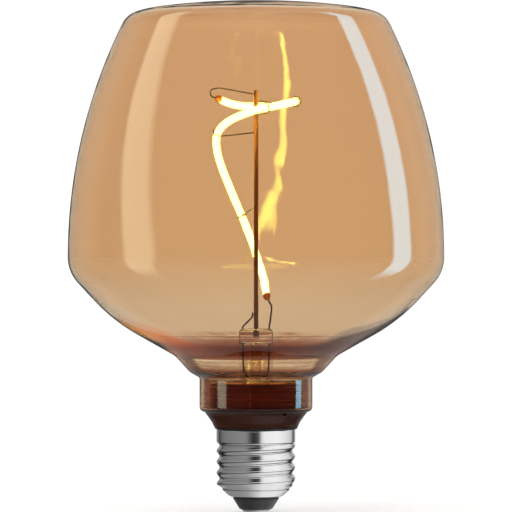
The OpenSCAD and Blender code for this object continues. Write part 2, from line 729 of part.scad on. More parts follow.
module live_wire() {
    hole_z = board_z + 1.5;
    back = board_face + lead_r;
    color([0.6, 0.6, 0.6]) {
        translate([0, 0, 0.9]) cylinder(r = lead_r, h = resistor_z - 0.9, $fn = 24);
        wire([[0, 0, resistor_top], [0, 0, resistor_top + 0.2], [0, back * 0.9, resistor_top + 0.6],
            [0, back, hole_z - 0.6], [0, back, hole_z + 1]], lead_r);
    }
}

module neutral_wire() {
    groove_r = spigot_r - 0.35;
    color([0.2, 0.2, 0.22]) wire([[-7.5, board_face + lead_r, board_z + 2.5],
        [-7.5, board_face + lead_r, board_z + 0.5], [-7.9, 0.6, spigot_z + 0.4],
        [-8.8, 0.2, spigot_z - 0.5], [-groove_r + 0.6, 0, spigot_z - 0.7],
        [-groove_r, 0, spigot_z - 0.1], [-groove_r, 0, spigot_z + 5.5]], lead_r);
}

glass_envelope();
stem_flare();
exhaust_tube();
support_rod();
rod_lead_wire();
filament_lead_wire();
filament();
top_terminal();
bottom_terminal();
top_arm();
hook_left();
hook_right();
hook_front();
hook_lower();
driver_housing();
housing_cover();
neck_adhesive();
cap_sealant();
cap_shell();
cap_insulator();
centre_contact();
contact_solder();
driver_board();
bridge_rectifier();
bulk_capacitor();
film_capacitor();
varistor();
inductor_core();
inductor_winding();
driver_ic();
smd_parts();
radio_board();
radio_shield();
antenna();
pin_header();
fusible_resistor();
live_wire();
neutral_wire();
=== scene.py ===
import math
import bmesh
import bpy
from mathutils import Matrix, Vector
from mathutils.bvhtree import BVHTree


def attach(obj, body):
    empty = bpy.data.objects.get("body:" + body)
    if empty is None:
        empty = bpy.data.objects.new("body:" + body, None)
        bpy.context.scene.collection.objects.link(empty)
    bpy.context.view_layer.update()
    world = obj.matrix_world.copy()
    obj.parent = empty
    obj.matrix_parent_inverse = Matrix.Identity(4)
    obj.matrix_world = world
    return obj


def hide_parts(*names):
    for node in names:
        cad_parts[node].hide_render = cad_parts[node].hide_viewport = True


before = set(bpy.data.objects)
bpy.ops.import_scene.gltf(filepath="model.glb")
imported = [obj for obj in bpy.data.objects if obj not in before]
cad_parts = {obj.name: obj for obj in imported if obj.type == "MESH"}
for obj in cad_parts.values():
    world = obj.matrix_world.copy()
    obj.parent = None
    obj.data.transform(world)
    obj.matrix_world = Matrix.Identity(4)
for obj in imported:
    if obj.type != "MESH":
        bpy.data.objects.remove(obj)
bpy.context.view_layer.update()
scene = bpy.context.scene
scene.view_settings.view_transform = "Standard"
mm = 0.001
slack = 0.0001     # millimetres within which two lengths count as the same
print("frame loaded")

# x, y in the 512 x 512 photograph; None where only one of them matters
photoSize = 512
photoPoints = {
    "leftEdge": (67.3, None),
    "rightEdge": (444.7, None),
    "topEdge": (None, 0.0),
    "bottomEdge": (None, 511.0),
    "rodTop": (258.0, 91.0),
    "topTerminal": (220.5, 98.5),
    "rightEye": (294.0, 101.0),
    "leftEye": (218.5, 132.5),
    "lowerEye": (240.0, 219.0),
    "bottomTerminal": (268.5, 300.5),
    "stemTop": (258.0, 329.0),
    "collarLeft": (200.2, None),
    "collarRight": (313.2, None),
    "rimLeft": (217.3, None),
    "rimRight": (296.3, None),
    "seamTop": (250.5, 392.0),
    "seamFoot": (250.5, 413.0),
    "notch": (285.0, 415.5),
}

cameraSetup = {
    "distance": 1.1,      # from the lamp's axis
    "height": 0.0845,     # level with the widest ring
    "lens": 233.6,
    "sensorWidth": 36.0,
    "clip": (0.05, 50.0),
}


def makeCamera():
    data = bpy.data.cameras.new("photoCamera")
    data.lens = cameraSetup["lens"]
    data.sensor_width = cameraSetup["sensorWidth"]
    data.sensor_fit = "AUTO"
    data.clip_start, data.clip_end = cameraSetup["clip"]
    camera = bpy.data.objects.new("photoCamera", data)
    camera.location = (0, -cameraSetup["distance"], cameraSetup["height"])
    camera.rotation_euler = (math.radians(90), 0, 0)
    scene.collection.objects.link(camera)
    scene.camera = camera
    bpy.context.view_layer.update()
    return camera


camera = makeCamera()


def photoRay(x, y):
    # the ray that leaves the camera through a place in the photograph
    data = camera.data
    direction = Vector((x - photoSize / 2 + data.shift_x * photoSize,
                        photoSize / 2 - y + data.shift_y * photoSize,
                        -photoSize * data.lens / data.sensor_width))
    return camera.matrix_world.translation, (camera.matrix_world.to_3x3() @ direction).normalized()


def photoPlace(point):
    # where a point in metres shows in the photograph
    local = camera.matrix_world.inverted() @ Vector(point)
    data = camera.data
    scale = photoSize * data.lens / data.sensor_width / -local.z
    return (photoSize / 2 + local.x * scale - data.shift_x * photoSize,
            photoSize / 2 - local.y * scale + data.shift_y * photoSize)


# where a ray that misses is searched for the nearest surface, as shares of the camera's distance
missedRay = {"from": 0.85, "to": 1.15, "steps": 200}


def placeOnSurface(name, carrier):
    # the place on a finished piece that shows at a named point
    origin, direction = photoRay(*photoPoints[name])
    tree = BVHTree.FromObject(carrier, bpy.context.evaluated_depsgraph_get())
    place = tree.ray_cast(origin, direction)[0]
    if place is None:
        nearest = []
        for step in range(missedRay["steps"]):
            share = missedRay["from"] + (missedRay["to"] - missedRay["from"]) * step / missedRay["steps"]
            found = tree.find_nearest(origin + direction * cameraSetup["distance"] * share)
            nearest.append((found[3], found[0]))
        place = min(nearest, key=lambda entry: entry[0])[1]
    return place


# outlines are lists of (radius, height) in millimetres
def arcPoints(centre, radius, start, end, steps):
    angles = [math.radians(start + (end - start) * i / steps) for i in range(steps + 1)]
    return [Vector((centre[0] + radius * math.cos(a), centre[1] + radius * math.sin(a))) for a in angles]


def ease(t):
    s = max(0.0, min(1.0, t))
    return s * s * (3 - 2 * s)


supportGap = 0.015     # from a rounded corner to the ring that keeps the face beside it flat


def cornerPoints(before, corner, after, steps):
    # a corner is (radius, height) or (radius, height, bend)
    point = Vector(corner[:2])
    bend = corner[2] if len(corner) > 2 else 0
    if bend <= 0:
        return [point]
    u = (Vector(before[:2]) - point).normalized()
    v = (Vector(after[:2]) - point).normalized()
    half = u.angle(v) / 2
    centre = point + (u + v).normalized() * bend / math.sin(half)
    first = point + u * bend / math.tan(half) - centre
    last = point + v * bend / math.tan(half) - centre
    start = math.degrees(math.atan2(first.y, first.x))
    turn = math.degrees(math.atan2(last.y, last.x)) - start
    arc = arcPoints(centre, bend, start, start + turn - 360 * round(turn / 360), steps)
    return [arc[0] + u * supportGap] + arc + [arc[-1] + v * supportGap]


def roundedOutline(corners, steps=6, closed=False):
    count = len(corners)
    points = []
    for i, corner in enumerate(corners):
        if not closed and i in (0, count - 1):
            points.append(Vector(corner[:2]))
        else:
            points += cornerPoints(corners[i - 1], corner, corners[(i + 1) % count], steps)
    return points


def finishMesh(bm, name, sharpAngle=40):
    bmesh.ops.recalc_face_normals(bm, faces=bm.faces)
    limit = math.radians(sharpAngle)
    for face in bm.faces:
        face.smooth = True
    for edge in bm.edges:
        if len(edge.link_faces) == 2 and edge.calc_face_angle(0) > limit:
            edge.smooth = False
    mesh = bpy.data.meshes.new(name)
    bm.to_mesh(mesh)
    bm.free()
    piece = bpy.data.objects.new(name, mesh)
    scene.collection.objects.link(piece)
    return piece


def spinOutline(outline, steps, closed=True):
    # an outline is spun into a shape about the lamp's axis
    bm = bmesh.new()
    verts = [bm.verts.new((r * mm, 0, z * mm)) for r, z in outline]
    pairs = list(zip(verts, verts[1:]))
    if closed and not (outline[0][0] < slack and outline[-1][0] < slack):
        pairs.append((verts[-1], verts[0]))
    edges = [bm.edges.new(pair) for pair in pairs]
    bmesh.ops.spin(bm, geom=verts + edges, cent=(0, 0, 0), axis=(0, 0, 1), dvec=(0, 0, 0),
                   angle=math.tau, steps=steps, use_merge=True, use_duplicate=False)
    bmesh.ops.remove_doubles(bm, verts=bm.verts, dist=slack * mm)
    return bm


# how a CAD node's swept wire is joined again from triangles and rounded, with no edge left sharp
wireCopy = {"joinAngle": 50.0, "shapeAngle": 150.0, "sharpAngle": 180.0, "levels": 2}


def smoothCopy(name, node, grow):
    # grow moves the skin outwards, in millimetres
    bm = bmesh.new()
    bm.from_mesh(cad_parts[node].data)
    bmesh.ops.remove_doubles(bm, verts=bm.verts, dist=slack * mm)
    bmesh.ops.join_triangles(bm, faces=bm.faces, angle_face_threshold=math.radians(wireCopy["joinAngle"]),
                             angle_shape_threshold=math.radians(wireCopy["shapeAngle"]))
    bm.normal_update()
    for vert in bm.verts:
        vert.co += vert.normal * grow * mm
    piece = finishMesh(bm, name, wireCopy["sharpAngle"])
    rounded = piece.modifiers.new("round", "SUBSURF")
    rounded.levels = wireCopy["levels"]
    rounded.render_levels = wireCopy["levels"]
    return piece


def seatPiece(piece, slotName, material, nodes=()):
    piece.data.materials.clear()
    piece.data.materials.append(material)
    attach(piece, "root")
    if nodes:
        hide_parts(*nodes)
    return piece


# node trees: an input takes a link where its value is a socket
def setInputs(tree, node, values):
    for label, value in values.items():
        if isinstance(value, bpy.types.NodeSocket):
            tree.links.new(value, node.inputs[label])
        else:
            node.inputs[label].default_value = value


def addNode(tree, kind, inputs=None, **settings):
    node = tree.nodes.new("ShaderNode" + kind)
    for label, value in settings.items():
        setattr(node, label, value)
    setInputs(tree, node, inputs or {})
    return node


def objectPlace(tree):
    return addNode(tree, "TexCoord").outputs["Object"]


def splitAxes(tree, vector):
    return addNode(tree, "SeparateXYZ", {"Vector": vector}).outputs


def joinValues(tree, operation, first, second, clamp=False):
    return addNode(tree, "Math", {0: first, 1: second}, operation=operation, use_clamp=clamp).outputs["Value"]


def joinVectors(tree, operation, first, second):
    return addNode(tree, "VectorMath", {0: first, 1: second}, operation=operation).outputs["Vector"]


def mixColors(tree, factor, first, second):
    return addNode(tree, "Mix", {"Factor": factor, 6: first, 7: second}, data_type="RGBA").outputs[2]


def smoothRange(tree, source, zone, ends=(0, 1)):
    # turns from one end to the other as the source crosses the zone
    return addNode(tree, "MapRange", {"Value": source, "From Min": zone[0], "From Max": zone[1],
                                      "To Min": ends[0], "To Max": ends[1]},
                   interpolation_type="SMOOTHSTEP").outputs["Result"]


def colorRamp(tree, share, stops):
    # stops are (share, colour), from 0 to 1
    ramp = addNode(tree, "ValToRGB", {"Fac": share})
    elements = ramp.color_ramp.elements
    elements[0].position, elements[1].position = 0, 1
    for position, _ in stops[1:-1]:
        elements.new(position)
    for element, (_, color) in zip(elements, stops):
        element.color = (*color, 1)
    return ramp.outputs["Color"]


def bandTints(tree, bands):
    # colours by height: (millimetres up the lamp, colour)
    low, high = bands[0][0], bands[-1][0]
    height = splitAxes(tree, objectPlace(tree))["Z"]
    share = addNode(tree, "MapRange", {"Value": height, "From Min": low * mm, "From Max": high * mm})
    stops = [((z - low) / (high - low), color) for z, color in bands]
    return colorRamp(tree, share.outputs["Result"], stops)


def rayMasks(tree):
    # seen straight or through glass; seen by light that turned inside the glass; seen in a reflection
    path = addNode(tree, "LightPath").outputs
    turned = joinValues(tree, "GREATER_THAN", path["Glossy Depth"], 0.5)
    inner = joinValues(tree, "MULTIPLY", turned, path["Is Transmission Ray"])
    through = joinValues(tree, "SUBTRACT", path["Is Transmission Ray"], inner)
    straight = joinValues(tree, "MAXIMUM", path["Is Camera Ray"], through)
    reflected = joinValues(tree, "SUBTRACT", path["Is Glossy Ray"], path["Is Transmission Ray"], True)
    return straight, inner, reflected


# surface effects that several materials share
def effectGroup(name, inputs, outputs):
    group = bpy.data.node_groups.new(name, "ShaderNodeTree")
    for label, value in inputs.items():
        kind = "NodeSocketColor" if isinstance(value, tuple) else "NodeSocketFloat"
        group.interface.new_socket(name=label, in_out="INPUT", socket_type=kind).default_value = value
    for label, kind in outputs.items():
        group.interface.new_socket(name=label, in_out="OUTPUT", socket_type=kind)
    return group, group.nodes.new("NodeGroupInput"), group.nodes.new("NodeGroupOutput")


def reliefNormal(tree, height, depth, under=None):
    # depth in millimetres; under is the normal that the relief is added to
    inputs = {"Strength": 1, "Height": height, "Distance": joinValues(tree, "MULTIPLY", depth, mm)}
    if under is not None:
        inputs["Normal"] = under
    return addNode(tree, "Bump", inputs).outputs["Normal"]


def makeGrain():
    # fine noise that lifts the surface and varies its roughness
    group, given, result = effectGroup(
        "fineGrain", {"Scale": 900.0, "Depth": 0.02, "Low": 0.3, "High": 0.5},
        {"Roughness": "NodeSocketFloat", "Normal": "NodeSocketVector"})
    given = given.outputs
    noise = addNode(group, "TexNoise", {"Vector": objectPlace(group), "Scale": given["Scale"], "Detail": 4})
    grain = noise.outputs["Fac"]
    spread = addNode(group, "MapRange", {"Value": grain, "To Min": given["Low"], "To Max": given["High"]})
    setInputs(group, result, {"Roughness": spread.outputs["Result"],
                              "Normal": reliefNormal(group, grain, given["Depth"])})
    return group


def makeDrift():
    # a slow change between two colours over the surface
    group, given, result = effectGroup(
        "colorDrift", {"Scale": 60.0, "First": (1, 1, 1, 1), "Second": (0, 0, 0, 1)},
        {"Color": "NodeSocketColor"})
    given = given.outputs
    cloud = addNode(group, "TexNoise", {"Vector": objectPlace(group), "Scale": given["Scale"], "Detail": 6})
    color = mixColors(group, cloud.outputs["Fac"], given["First"], given["Second"])
    setInputs(group, result, {"Color": color})
    return group


def makeRipple():
    # the slow waves that a glass blower leaves, stretched round the lamp
    group, given, result = effectGroup(
        "glassRipple", {"Scale": 30.0, "Depth": 0.1, "Stretch": 0.4}, {"Normal": "NodeSocketVector"})
    under = group.interface.new_socket(name="Normal", in_out="INPUT", socket_type="NodeSocketVector")
    under.hide_value = True
    given = given.outputs
    squeeze = addNode(group, "CombineXYZ", {"X": 1, "Y": 1, "Z": given["Stretch"]}).outputs["Vector"]
    stretched = joinVectors(group, "MULTIPLY", objectPlace(group), squeeze)
    wave = addNode(group, "TexNoise", {"Vector": stretched, "Scale": given["Scale"], "Detail": 1.5})
    relief = reliefNormal(group, wave.outputs["Fac"], given["Depth"], given["Normal"])
    setInputs(group, result, {"Normal": relief})
    return group


fineGrain = makeGrain()
colorDrift = makeDrift()
glassRipple = makeRipple()


def addEffect(tree, group, **values):
    effect = addNode(tree, "Group", node_tree=group)
    setInputs(tree, effect, values)
    return effect.outputs


def newMaterial(name):
    material = bpy.data.materials.new(name)
    material.use_nodes = True
    tree = material.node_tree
    return material, tree, tree.nodes["Principled BSDF"]


def solidMaterial(name, first, second, low, high, metallic=0.0, grainScale=900.0, grainDepth=0.01,
                  driftScale=80.0, specular=0.5):
    # an opaque finish: two drifting colours, with roughness from low to high and a fine relief
    material, tree, shader = newMaterial(name)
    grain = addEffect(tree, fineGrain, Scale=grainScale, Depth=grainDepth, Low=low, High=high)
    drift = addEffect(tree, colorDrift, Scale=driftScale, First=(*first, 1), Second=(*second, 1))
    setInputs(tree, shader, {"Base Color": drift["Color"], "Metallic": metallic,
                             "Specular IOR Level": specular,
                             "Roughness": grain["Roughness"], "Normal": grain["Normal"]})
    return material


# how far edge on the glass has to be seen to take its painted rim colour
edgeMask = (0.88, 0.97)
amberCoat = {
    # light let through one wall, by height: the glass gathers at the foot of the bowl, and the two dark bands
    # there, 45.8 to 47.5 and 51.9 to 55.8 mm, are painted reflections of the dark housing below
    "tints": [(33.0, (0.5, 0.28, 0.15)), (34.4, (0.5, 0.28, 0.15)), (34.8, (0.80, 0.62, 0.44)),
              (43.6, (0.80, 0.62, 0.44)), (44.2, (0.84, 0.72, 0.56)),
              (45.3, (0.84, 0.72, 0.56)), (45.8, (0.38, 0.16, 0.08)), (47.5, (0.38, 0.16, 0.08)),
              (48.0, (0.84, 0.72, 0.56)), (51.4, (0.84, 0.72, 0.56)), (51.9, (0.36, 0.14, 0.07)),
              (55.8, (0.38, 0.15, 0.07)), (56.4, (0.7, 0.5, 0.34)), (57.4, (0.80, 0.66, 0.49)),
              (66.0, (0.80, 0.66, 0.49)), (86.0, (0.79, 0.59, 0.39)), (170.0, (0.80, 0.59, 0.40))],
    # along the outline, where the wall is seen edge on: painted edge shade, and a painted orange glow on the
    # lit left side between 55 and 65 mm
    "rims": [(33.0, (0.3, 0.17, 0.1)), (43.0, (0.3, 0.15, 0.08)), (45.0, (0.16, 0.07, 0.035)),
             (51.0, (0.16, 0.07, 0.03)), (55.0, (0.6, 0.14, 0.02)), (57.5, (0.95, 0.22, 0.01)),
             (61.0, (0.95, 0.22, 0.01)), (65.0, (0.35, 0.15, 0.06)),
             (72.0, (0.2, 0.12, 0.08)), (170.0, (0.16, 0.10, 0.07))],
    # the same on the shaded side
    "shadeRims": [(33.0, (0.25, 0.13, 0.08)), (50.0, (0.2, 0.1, 0.06)), (56.0, (0.07, 0.03, 0.02)),
                  (62.0, (0.07, 0.04, 0.03)), (68.0, (0.15, 0.1, 0.07)), (170.0, (0.16, 0.10, 0.07))],
    "sideZone": (-10.0, 10.0),     # where the lit side's painted rims pass over into the shaded side's
    # how much wider the painted edge is, by height
    "rimSpread": [(33.0, 0.45), (43.5, 0.45), (46.0, 0.36), (53.0, 0.34), (58.0, 0.27), (67.0, 0.0),
                  (170.0, 0.0)],
    # fine level lines in the drawn glass of the neck
    "lineTint": (0.62, 0.5, 0.42), "lineScale": 2200.0, "lineStretch": 0.006, "lineMask": (0.45, 0.62),
    "lineZone": (57.4, 55.4),
    "ior": 1.48,
    "waveScale": 26.0, "waveDepth": 0.12,
    "pitScale": 95.0, "pitStretch": 0.8,
    "pitDepths": (0.06, 0.15),     # at the front, and at the back of the bowl
    "backZone": (-10.0, 30.0),
}


def inMetres(zone):
    return zone[0] * mm, zone[1] * mm


def drawnLines(tree, color):
    c = amberCoat
    level = joinVectors(tree, "MULTIPLY", objectPlace(tree), (c["lineStretch"], c["lineStretch"], 1))
    lines = addNode(tree, "TexNoise", {"Vector": level, "Scale": c["lineScale"], "Detail": 2}).outputs["Fac"]
    low = smoothRange(tree, splitAxes(tree, objectPlace(tree))["Z"], inMetres(c["lineZone"]))
    share = joinValues(tree, "MULTIPLY", smoothRange(tree, lines, c["lineMask"]), low)
    return mixColors(tree, share, color, joinVectors(tree, "MULTIPLY", color, c["lineTint"]))


def outlineMask(tree, spread=None):
    # 1 where the outer skin is seen edge on from outside, where the painted edge colour goes; spread makes
    # the edge wider
    facing = addNode(tree, "LayerWeight", {"Blend": 0.5}).outputs["Facing"]
    if spread is not None:
        facing = joinValues(tree, "ADD", facing, spread)
    outside = joinValues(tree, "SUBTRACT", 1, addNode(tree, "NewGeometry").outputs["Backfacing"])
    return joinValues(tree, "MULTIPLY", smoothRange(tree, facing, edgeMask), outside)


def amberGlass():
    c = amberCoat
    material, tree, shader = newMaterial("amberGlass")
    axes = splitAxes(tree, objectPlace(tree))
    wall = drawnLines(tree, bandTints(tree, c["tints"]))
    # painted light and shade at the outline: a glow on the left side, shade on the right
    rim = mixColors(tree, smoothRange(tree, axes["X"], inMetres(c["sideZone"])),
                    bandTints(tree, c["rims"]), bandTints(tree, c["shadeRims"]))
    spread = bandTints(tree, [(height, (share,) * 3) for height, share in c["rimSpread"]])
    pitDepth = smoothRange(tree, axes["Y"], inMetres(c["backZone"]), c["pitDepths"])
    wave = addEffect(tree, glassRipple, Scale=c["waveScale"], Depth=c["waveDepth"])
    pits = addEffect(tree, glassRipple, Scale=c["pitScale"], Stretch=c["pitStretch"], Depth=pitDepth,
                     Normal=wave["Normal"])
    setInputs(tree, shader, {"Base Color": mixColors(tree, outlineMask(tree, spread), wall, rim),
                             "Transmission Weight": 1, "Roughness": 0, "IOR": c["ior"],
                             "Normal": pits["Normal"]})
    return material


stemCoat = {
    # the tube is clear, and the flare below it is darkened by heat
    "tints": [(33.0, (0.80, 0.42, 0.22)), (43.0, (0.80, 0.42, 0.22)), (43.6, (0.95, 0.88, 0.78)),
              (50.0, (0.97, 0.88, 0.76)), (54.0, (0.98, 0.94, 0.88)), (61.0, (0.98, 0.94, 0.88))],
    # painted edge shade, where the tube and flare are seen edge on
    "rims": [(33.0, (0.75, 0.42, 0.22)), (45.0, (0.85, 0.7, 0.55)), (46.0, (0.45, 0.24, 0.14)),
             (61.0, (0.45, 0.24, 0.14))],
    "ior": 1.5, "roughness": 0.01,
    "rippleScale": 120.0, "rippleDepth": 0.05,
}


def stemGlass():
    c = stemCoat
    material, tree, shader = newMaterial("stemGlass")
    color = mixColors(tree, outlineMask(tree), bandTints(tree, c["tints"]), bandTints(tree, c["rims"]))
    ripple = addEffect(tree, glassRipple, Scale=c["rippleScale"], Depth=c["rippleDepth"], Stretch=1.0)
    setInputs(tree, shader, {"Base Color": color, "Transmission Weight": 1, "Roughness": c["roughness"],
                             "IOR": c["ior"], "Normal": ripple["Normal"]})
    return material


envelope = {
    "radius": 62.25,
    "widest": 84.3,        # height of the widest ring
    "barrelBend": 174.0,
    "barrelHeight": 77.0,
    "crownEdge": 7.2,
    "crownBlend": 29.5,
    "blendAngle": 72.0,
    "domeAngle": 82.2,
    # the bowl's corners: (how far inside the widest ring, height above the neck, bend)
    "shoulder": (0.0, 35.06, 12.6),
    "slope": (14.8, 18.9, 60.0),
    # its foot: (how far outside the neck, height above it, bend)
    "throat": (8.2, 7.3, 7.9),
    "root": (3.2, 1.9, 2.8),
    "neckRadius": 18.7,
    "neckTop": 44.2,
    "neckFoot": 33.0,
    "neckBend": 0.8,
    "lipRadius": 16.3,
    "lipBend": 1.6,
    "barrelWall": 1.0,
    "neckWall": 1.2,
    # faces round the axis, along a bend, and along the crown's dome, blend, edge and side
    "roundSteps": 144, "bendSteps": 10, "crownSteps": (14, 6, 12, 30),
}


def toward(angle):
    return Vector((math.cos(math.radians(angle)), math.sin(math.radians(angle))))


def crownOutline(inset):
    e = envelope
    sideCentre = Vector((e["radius"] - e["barrelBend"], e["widest"]))
    crownAngle = math.degrees(math.asin(e["barrelHeight"] / e["barrelBend"]))
    edgeCentre = sideCentre + toward(crownAngle) * (e["barrelBend"] - e["crownEdge"])
    blendCentre = edgeCentre + toward(e["blendAngle"]) * (e["crownEdge"] - e["crownBlend"])
    domeRadius = e["crownBlend"] + blendCentre.x / math.cos(math.radians(e["domeAngle"]))
    domeCentre = blendCentre + toward(e["domeAngle"]) * (e["crownBlend"] - domeRadius)
    steps = e["crownSteps"]
    dome = arcPoints(domeCentre, domeRadius - inset, 90, e["domeAngle"], steps[0])
    blend = arcPoints(blendCentre, e["crownBlend"] - inset, e["domeAngle"], e["blendAngle"], steps[1])
    edge = arcPoints(edgeCentre, e["crownEdge"] - inset, e["blendAngle"], crownAngle, steps[2])
    side = arcPoints(sideCentre, e["barrelBend"] - inset, crownAngle, 0, steps[3])
    dome[0].x = 0
    return dome + blend[1:] + edge[1:] + side[1:]


def insideOf(bowl):
    # the inner skin of the bowl and neck, whose wall thickens a little toward the foot
    e = envelope
    skin = []
    for i, point in enumerate(bowl[:-1]):
        along = (bowl[i + 1] - (bowl[i - 1] if i else point)).normalized()
        share = (e["widest"] - point.y) / (e["widest"] - e["neckTop"])
        wall = e["barrelWall"] + (e["neckWall"] - e["barrelWall"]) * ease(share)
        skin.append(point + Vector((along.y, -along.x)) * wall)
    return skin + [Vector((e["lipRadius"], e["neckFoot"] + e["neckWall"]))]


def buildEnvelope():
    e = envelope
    upper = [(e["radius"] - inside, e["neckTop"] + above, bend)
             for inside, above, bend in (e["shoulder"], e["slope"])]
    lower = [(e["neckRadius"] + outside, e["neckTop"] + above, bend)
             for outside, above, bend in (e["throat"], e["root"])]
    neck = [(e["neckRadius"], e["neckTop"], e["neckBend"]), (e["neckRadius"], e["neckFoot"], e["lipBend"]),
            (e["lipRadius"], e["neckFoot"])]
    bowl = roundedOutline([(e["radius"], e["widest"])] + upper + lower + neck, e["bendSteps"])[1:]
    outer = crownOutline(0) + bowl
    inner = crownOutline(e["barrelWall"]) + insideOf(bowl)
    bm = spinOutline(outer + inner[::-1], e["roundSteps"])
    return seatPiece(finishMesh(bm, "glassEnvelope"), "amber_glass", amberGlass(), ["glass_envelope"])


stem = {
    "flareRadius": 17.2, "flareFoot": 34.2, "flareTop": 44.2, "wall": 0.9,
    "footBevel": 0.4, "ribPitch": 1.15, "ribDepth": 0.25, "ribSteps": 8, "ribShape": 0.5,
    "edge": 0.35, "edgeBend": 0.3,     # over the ribs
    "tubeRadius": 5.7, "tubeTop": 60.0, "pressHeight": 3.6,
    "tubeFootBend": 0.8, "tubeTopBend": 1.4,
    "innerBends": (0.8, 0.4, 0.5),     # under the press, at the tube's foot, in the flare
    "rodSeat": 2.3, "rodHole": 0.8,
    "roundSteps": 96, "innerBendSteps": 5,
}


def flareSide():
    # the flare's outer side: a bevelled foot, and ribs that bulge one above the other
    s = stem
    side = [(s["flareRadius"] - s["wall"], s["flareFoot"]),
            (s["flareRadius"] - s["footBevel"], s["flareFoot"]),
            (s["flareRadius"], s["flareFoot"] + s["footBevel"])]
    ribs = int((s["flareTop"] - s["flareFoot"] - s["footBevel"] - s["edgeBend"]) / s["ribPitch"])
    for i in range(ribs):
        foot = s["flareFoot"] + s["footBevel"] + i * s["ribPitch"]
        for step in range(1, s["ribSteps"] + 1):
            t = step / s["ribSteps"]
            bulge = math.sin(math.pi * t) ** s["ribShape"] if t < 1 else 0
            side.append((s["flareRadius"] - s["ribDepth"] * (1 - bulge), foot + s["ribPitch"] * t))
    return side


def buildStem():
    s = stem
    top = roundedOutline([(s["flareRadius"], s["flareTop"] - s["edge"]),
                          (s["flareRadius"], s["flareTop"], s["edgeBend"]),
                          (s["tubeRadius"], s["flareTop"], s["tubeFootBend"]),
                          (s["tubeRadius"], s["tubeTop"], s["tubeTopBend"]), (s["rodHole"], s["tubeTop"])])
    hole = [(s["rodHole"], s["tubeTop"] - s["rodSeat"]), (0, s["tubeTop"] - s["rodSeat"])]
    bore, flare = s["tubeRadius"] - s["wall"], s["flareRadius"] - s["wall"]
    press, roof = s["tubeTop"] - s["pressHeight"], s["flareTop"] - s["wall"]
    bends = s["innerBends"]
    inside = roundedOutline([(0, press), (bore, press, bends[0]), (bore, roof, bends[1]),
                             (flare, roof, bends[2]), (flare, s["flareFoot"])], s["innerBendSteps"])
    bm = spinOutline(flareSide() + top + hole + inside[:-1], s["roundSteps"])
    return seatPiece(finishMesh(bm, "stemFlare"), "stem_glass", stemGlass(), ["stem_flare"])


exhaust = {
    "radius": 1.8, "bore": 1.2, "tip": 43.3, "solidTip": 1.2, "boreBevel": 0.8, "top": 56.38,
    "roundSteps": 48, "tipSteps": 9,
}


def buildExhaust():
    # a tube that was melted shut at its lower end
    x = exhaust
    tip = arcPoints((0, x["tip"] + x["radius"]), x["radius"], -90, 0, x["tipSteps"])
    tip[0].x = 0
    solid = x["tip"] + x["solidTip"]
    outline = tip + [(x["radius"], x["top"]), (x["bore"], x["top"]), (x["bore"], solid + x["boreBevel"]),
                     (0, solid)]
    bm = spinOutline(outline, x["roundSteps"])
    return seatPiece(finishMesh(bm, "exhaustTube"), "stem_glass", stemGlass(), ["exhaust_tube"])


envelopePiece = buildEnvelope()
stemPiece = buildStem()
buildExhaust()
print("glass done")

filamentLook = {
    "strength": 60.0, "coreGrow": -0.4, "coreDrift": 400.0,
    "first": (0.82, 0.92, 0.14), "second": (0.88, 1.0, 0.18),     # what the glass mirrors
    "seen": (0.04, 0.045, 0.045),                                 # what is seen straight
    "sheathFirst": (0.75, 0.85, 0.8), "sheathSecond": (0.85, 0.95, 0.9),
    "sheathGrow": 0.08, "sheathDrift": 500.0,
    "sheathStrength": 1.7, "sheathAlpha": 0.45, "sheathRoughness": 0.35,
}


def litCore():
    look = filamentLook
    material, tree, shader = newMaterial("litCore")
    color = addEffect(tree, colorDrift, Scale=look["coreDrift"], First=(*look["first"], 1),
                      Second=(*look["second"], 1))["Color"]
    glow = mixColors(tree, rayMasks(tree)[0], color, (*look["seen"], 1))
    setInputs(tree, shader, {"Base Color": color, "Emission Color": glow,
                             "Emission Strength": look["strength"]})
    return material


def litSheath():
    look = filamentLook
    material, tree, shader = newMaterial("litSheath")
    color = addEffect(tree, colorDrift, Scale=look["sheathDrift"], First=(*look["sheathFirst"], 1),
                      Second=(*look["sheathSecond"], 1))["Color"]
    setInputs(tree, shader, {"Base Color": color, "Emission Color": color,
                             "Emission Strength": look["sheathStrength"],
                             "Alpha": look["sheathAlpha"], "Roughness": look["sheathRoughness"]})
    return material


def buildFilament():
    # a lit core inside a translucent sheath
    sheath = smoothCopy("filamentSheath", "filament", filamentLook["sheathGrow"])
    seatPiece(sheath, "filament_silicone", litSheath(), ["filament"])
    core = smoothCopy("filamentCore", "filament", filamentLook["coreGrow"])
    seatPiece(core, "filament_silicone", litCore(), ["filament"])


rodMetal = solidMaterial("rodMetal", (0.32, 0.10, 0.025), (0.22, 0.065, 0.016), 0.4, 0.55, metallic=0.3,
                         grainScale=1500, grainDepth=0.01, driftScale=120)
wireMetal = solidMaterial("wireMetal", (0.09, 0.028, 0.013), (0.05, 0.016, 0.008), 0.3, 0.5, metallic=0.2,
                          grainScale=2500, grainDepth=0.006, driftScale=300)
copper = solidMaterial("terminalCopper", (0.9, 0.26, 0.07), (0.75, 0.19, 0.05), 0.3, 0.45, metallic=0.3,
                       grainScale=2000, grainDepth=0.008, driftScale=500)
rod = {
    "radius": 0.75, "foot": 57.72, "top": 139.3, "footBend": 0.1, "topBend": 0.15,
    "roundSteps": 32, "bendSteps": 4, "sharpAngle": 60.0,
}
# how far each kind of swept wire is grown, to make up for what the rounding takes
wireGrow = {"hook": 0.02, "lead": 0.025, "terminal": 0.05}


def buildRod():
    r = rod
    outline = roundedOutline([(0, r["foot"]), (r["radius"], r["foot"], r["footBend"]),
                              (r["radius"], r["top"], r["topBend"]), (0, r["top"])], r["bendSteps"])
    piece = finishMesh(spinOutline(outline, r["roundSteps"]), "supportRod", r["sharpAngle"])
    return seatPiece(piece, "rod_metal", rodMetal, ["support_rod"])


